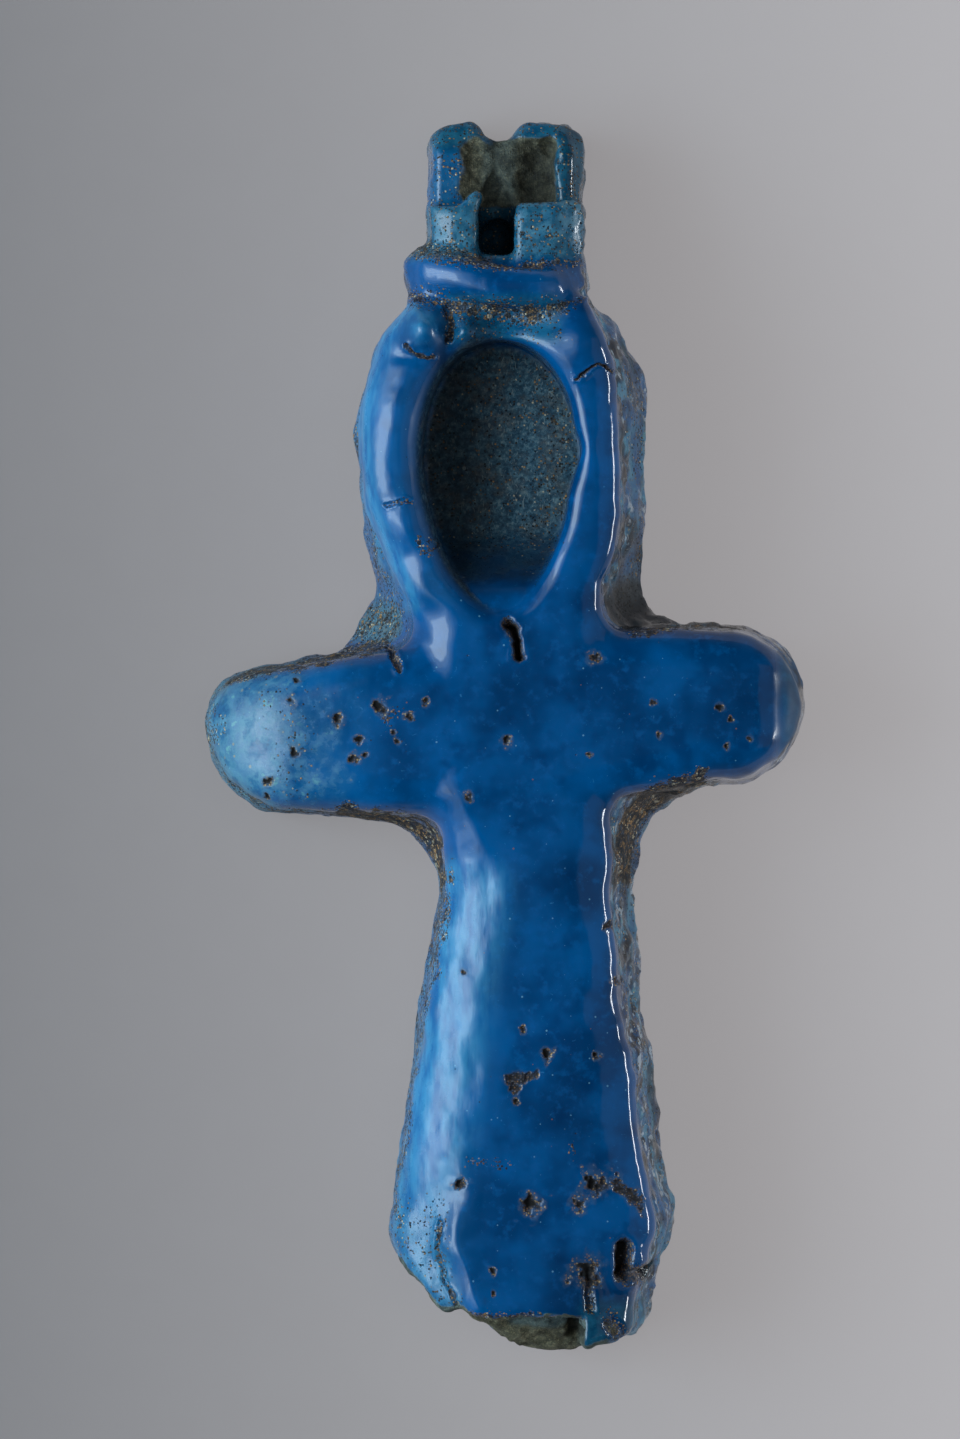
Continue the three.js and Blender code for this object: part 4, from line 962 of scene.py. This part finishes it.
    # dirt: separate grains of many browns, denser where there is more of it
    earth = [
        (0.0, srgb(24, 20, 16)), (0.3, srgb(58, 47, 34)), (0.5, srgb(100, 80, 52)), (0.63, srgb(146, 114, 68)),
        (0.76, srgb(184, 142, 86)), (0.85, srgb(70, 82, 98)), (0.93, srgb(204, 194, 166)),
    ]
    patch = g.noise(at, 2.4, 4.0, 0.65)
    near, chance, tint, lift = g.grains(at, 19.0)
    near2, chance2, tint2, lift2 = g.grains(at, 8.0)
    amount = g.math("MULTIPLY", plus(dirt, times(less(patch, 0.5), times(g.ramp(dirt, 0.02, 0.3), 1.3))), 1.15)
    small = times(g.ramp(less(amount, chance), 0.0, 0.08), g.ramp(near, 0.75, 0.45))
    large = times(g.ramp(less(amount, plus(times(chance2, 0.7), 0.4)), 0.0, 0.1), g.ramp(near2, 0.7, 0.45))
    film = g.ramp(amount, 0.55, 1.0)
    cover = most(most(small, large), film)
    soil = g.blend(large, g.palette(tint, earth, hard=True), g.palette(tint2, earth, hard=True))
    soil = g.blend(times(g.ramp(near, 0.25, 0.6), 0.7), soil, srgb(26, 22, 18))
    color = g.blend(times(cover, 0.92), color, soil)

    # pits: a dusty border, brown and grainy inside, with a black middle
    halo = times(g.ramp(plus(pit, times(less(mottled, 0.5), 0.3)), 0.03, 0.2), g.ramp(pit, 0.0, 0.04))
    color = g.blend(times(halo, 0.5), color, srgb(66, 88, 116))
    floor = g.blend(g.ramp(near, 0.2, 0.6), g.palette(tint, [(0.0, srgb(40, 34, 31)), (0.3, srgb(66, 56, 48)), (0.56, srgb(92, 74, 56)), (0.78, srgb(136, 98, 60)), (0.88, srgb(108, 104, 110))], hard=True), srgb(38, 34, 34))
    fray = plus(times(less(grain, 0.5), 0.5), times(less(chance, 0.5), 0.22))
    color = g.blend(times(g.ramp(plus(pit, fray), 0.24, 0.56), 0.93), color, floor)
    color = g.blend(times(g.ramp(plus(pit, fray), 0.5, 0.78), 0.95), color, srgb(9, 9, 11))
    rim = times(times(g.ramp(pit, 0.1, 0.2), g.ramp(pit, 0.62, 0.46)), times(g.ramp(chance, 0.6, 0.68), g.ramp(near, 0.62, 0.4)))
    rim_tone = g.palette(tint, [(0.0, srgb(164, 124, 76)), (0.34, srgb(122, 86, 52)), (0.58, srgb(196, 170, 124)), (0.84, srgb(122, 132, 146))], hard=True)
    color = g.blend(times(rim, 0.55), color, rim_tone)

    # bare core
    stone = g.palette(g.noise(at, 3.4, 5.0, 0.7), [(0.3, srgb(52, 48, 34)), (0.44, srgb(88, 84, 60)), (0.56, srgb(120, 114, 86)), (0.7, srgb(164, 156, 124))])
    stone = g.blend(times(g.ramp(grain, 0.53, 0.7), 0.6), stone, srgb(156, 144, 112))
    stone = g.blend(times(g.ramp(near, 0.3, 0.55), 0.45), stone, srgb(30, 28, 22))
    stone = g.blend(times(teal, 0.6), stone, g.blend(g.ramp(mottled, 0.35, 0.65), srgb(44, 72, 84), srgb(88, 122, 130)))
    bare = g.ramp(plus(core, times(less(patch, 0.5), 0.8)), 0.35, 0.6)
    color = g.blend(bare, color, stone)
    # painted shade: the shade mask darkens the colour towards near-black in hollows, holes, the recess's left part, on
    # sides turned from the lamp and in the darker patches
    color = g.blend(times(shade, 0.94), color, srgb(9, 12, 15))

    # gloss
    rough_value = g.value(g.ramp(mottled, 0.3, 0.7), 0.085, 0.14)
    rough_value = g.value(thin, rough_value, 0.33)
    rough_value = g.value(g.ramp(wear_and_sheen_at, 0.0, 0.5), rough_value, g.value(g.ramp(mottled, 0.4, 0.6), 0.28, 0.46))
    rough_value = g.value(dull, rough_value, 0.6)
    rough_value = g.value(matte, rough_value, 0.7)
    rough_value = g.value(times(cover, 0.9), rough_value, 0.85)
    rough_value = g.value(g.ramp(pit, 0.25, 0.45), rough_value, 0.85)
    rough_value = g.value(bare, rough_value, 0.9)
    rough_value = g.value(wet, rough_value, 0.13)

    # fine relief
    soft = plus(times(g.noise(at, 2.2, 1.0, 0.5), plus(0.24, times(wear_and_sheen_at, 0.3))), times(streak, plus(0.06, times(thin, 0.8))))
    grit = plus(times(less(0.8, near), times(cover, 0.9)), times(grain, plus(times(most(bare, matte), 0.7), 0.012)))
    holes = plus(times(dark_specks, -0.4), times(flakes, 0.4))
    relief = g.new("ShaderNodeBump", {"Strength": 0.5, "Distance": 0.00006, "Height": plus(plus(soft, grit), holes)}).outputs[0]

    shader = g.new("ShaderNodeBsdfPrincipled", {"Base Color": color, "Roughness": rough_value, "Normal": relief, "IOR": 1.46})
    g.tree.links.new(shader.outputs[0], g.out.inputs["Surface"])
    return material


amulet_piece = build("amulet", 0.116)
amulet_piece.data.materials.append(faience())
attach(amulet_piece, "root")
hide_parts("ankh_amulet")


# ---- floor, light, camera ----
def lit_floor():
    """Pale matte board with a faint light of its own, stronger to the right, as on a light table."""
    material = bpy.data.materials.new("pale_floor")
    g = Nodes(material)
    where = g.new("ShaderNodeTexCoord").outputs["Object"]
    tone = g.blend(g.noise(where, 900.0, 3.0), srgb(90, 89, 92), srgb(94, 93, 96))
    along = g.new("ShaderNodeSeparateXYZ", {0: where}).outputs[0]
    glow = g.new("ShaderNodeMapRange", {0: along, 1: -0.0145, 2: 0.0115, 3: 0.155, 4: 0.425}).outputs[0]
    shader = g.new("ShaderNodeBsdfPrincipled", {"Base Color": tone, "Roughness": 0.9, "Emission Color": srgb(236, 232, 234), "Emission Strength": glow})
    g.tree.links.new(shader.outputs[0], g.out.inputs["Surface"])
    return material


floor_mesh = bpy.data.meshes.new("floor")
FLOOR_Z = -0.02 * MM
floor_mesh.from_pydata([(x, y, FLOOR_Z) for x, y in ((-0.6, -0.6), (0.6, -0.6), (0.6, 0.6), (-0.6, 0.6))], [], [(0, 1, 2, 3)])
floor = bpy.data.objects.new("floor", floor_mesh)
floor_mesh.materials.append(lit_floor())
bpy.context.scene.collection.objects.link(floor)


def softbox(name, place, target, size_x, size_y, power, color=(1, 1, 1)):
    data = bpy.data.lights.new(name, "AREA")
    data.shape = "RECTANGLE"
    data.size, data.size_y = size_x, size_y
    data.energy = power
    data.color = color
    obj = bpy.data.objects.new(name, data)
    obj.location = place
    obj.rotation_euler = (Vector(target) - Vector(place)).to_track_quat("-Z", "Y").to_euler()
    bpy.context.scene.collection.objects.link(obj)
    return obj


for size_x, size_y, power in ((0.2, 0.18, 0.58), (0.32, 0.29, 0.4), (0.46, 0.4, 0.46), (0.6, 0.5, 0.3)):
    softbox("key_left", (-0.275 - 0.01 * size_x, 0.01, 0.185 + 0.005 * size_x), (0, 0, 0), size_x, size_y, power, (0.74, 0.91, 1.0))
# a dim panel and a low bright strip on the right, which the steep right edges mirror
softbox("panel_right", (0.27, 0.0, 0.2), (0, 0, 0), 0.4, 0.3, 0.085)
softbox("strip_right", (0.33, -0.02, 0.016), (0, 0, 0.004), 0.14, 0.028, 0.4, (0.9, 0.96, 1.0))
above = softbox("fill_top", (0.04, 0.03, 0.5), (0, 0, 0), 0.3, 0.3, 0.5)
above.visible_glossy = False

# the studio is grey round the horizon and dark overhead
world = bpy.data.worlds.new("studio")
world.use_nodes = True
tree = world.node_tree
background = tree.nodes["Background"]
toward = tree.nodes.new("ShaderNodeTexCoord")
split = tree.nodes.new("ShaderNodeSeparateXYZ")
fade = tree.nodes.new("ShaderNodeMapRange")
fade.interpolation_type = "SMOOTHERSTEP"
fade.inputs[1].default_value, fade.inputs[2].default_value = -0.5, 0.7
fade.inputs[3].default_value, fade.inputs[4].default_value = 0.34, 0.005
tree.links.new(toward.outputs["Generated"], split.inputs[0])
tree.links.new(split.outputs[2], fade.inputs[0])
tree.links.new(fade.outputs[0], background.inputs[1])
background.inputs[0].default_value = (0.5, 0.78, 1.0, 1)
bpy.context.scene.world = world
bpy.context.scene.view_settings.view_transform = "Standard"

camera = bpy.data.cameras.new("camera")
camera.lens = 250
camera.sensor_width = 36
camera.sensor_height = 36
camera.sensor_fit = "AUTO"
camera.clip_start = 0.01
camera_obj = bpy.data.objects.new("camera", camera)
camera_obj.location = (-0.6 * MM, 0.47 * MM, 256.1 * MM)
camera_obj.rotation_euler = (0, 0, 0)
bpy.context.scene.collection.objects.link(camera_obj)
bpy.context.scene.camera = camera_obj
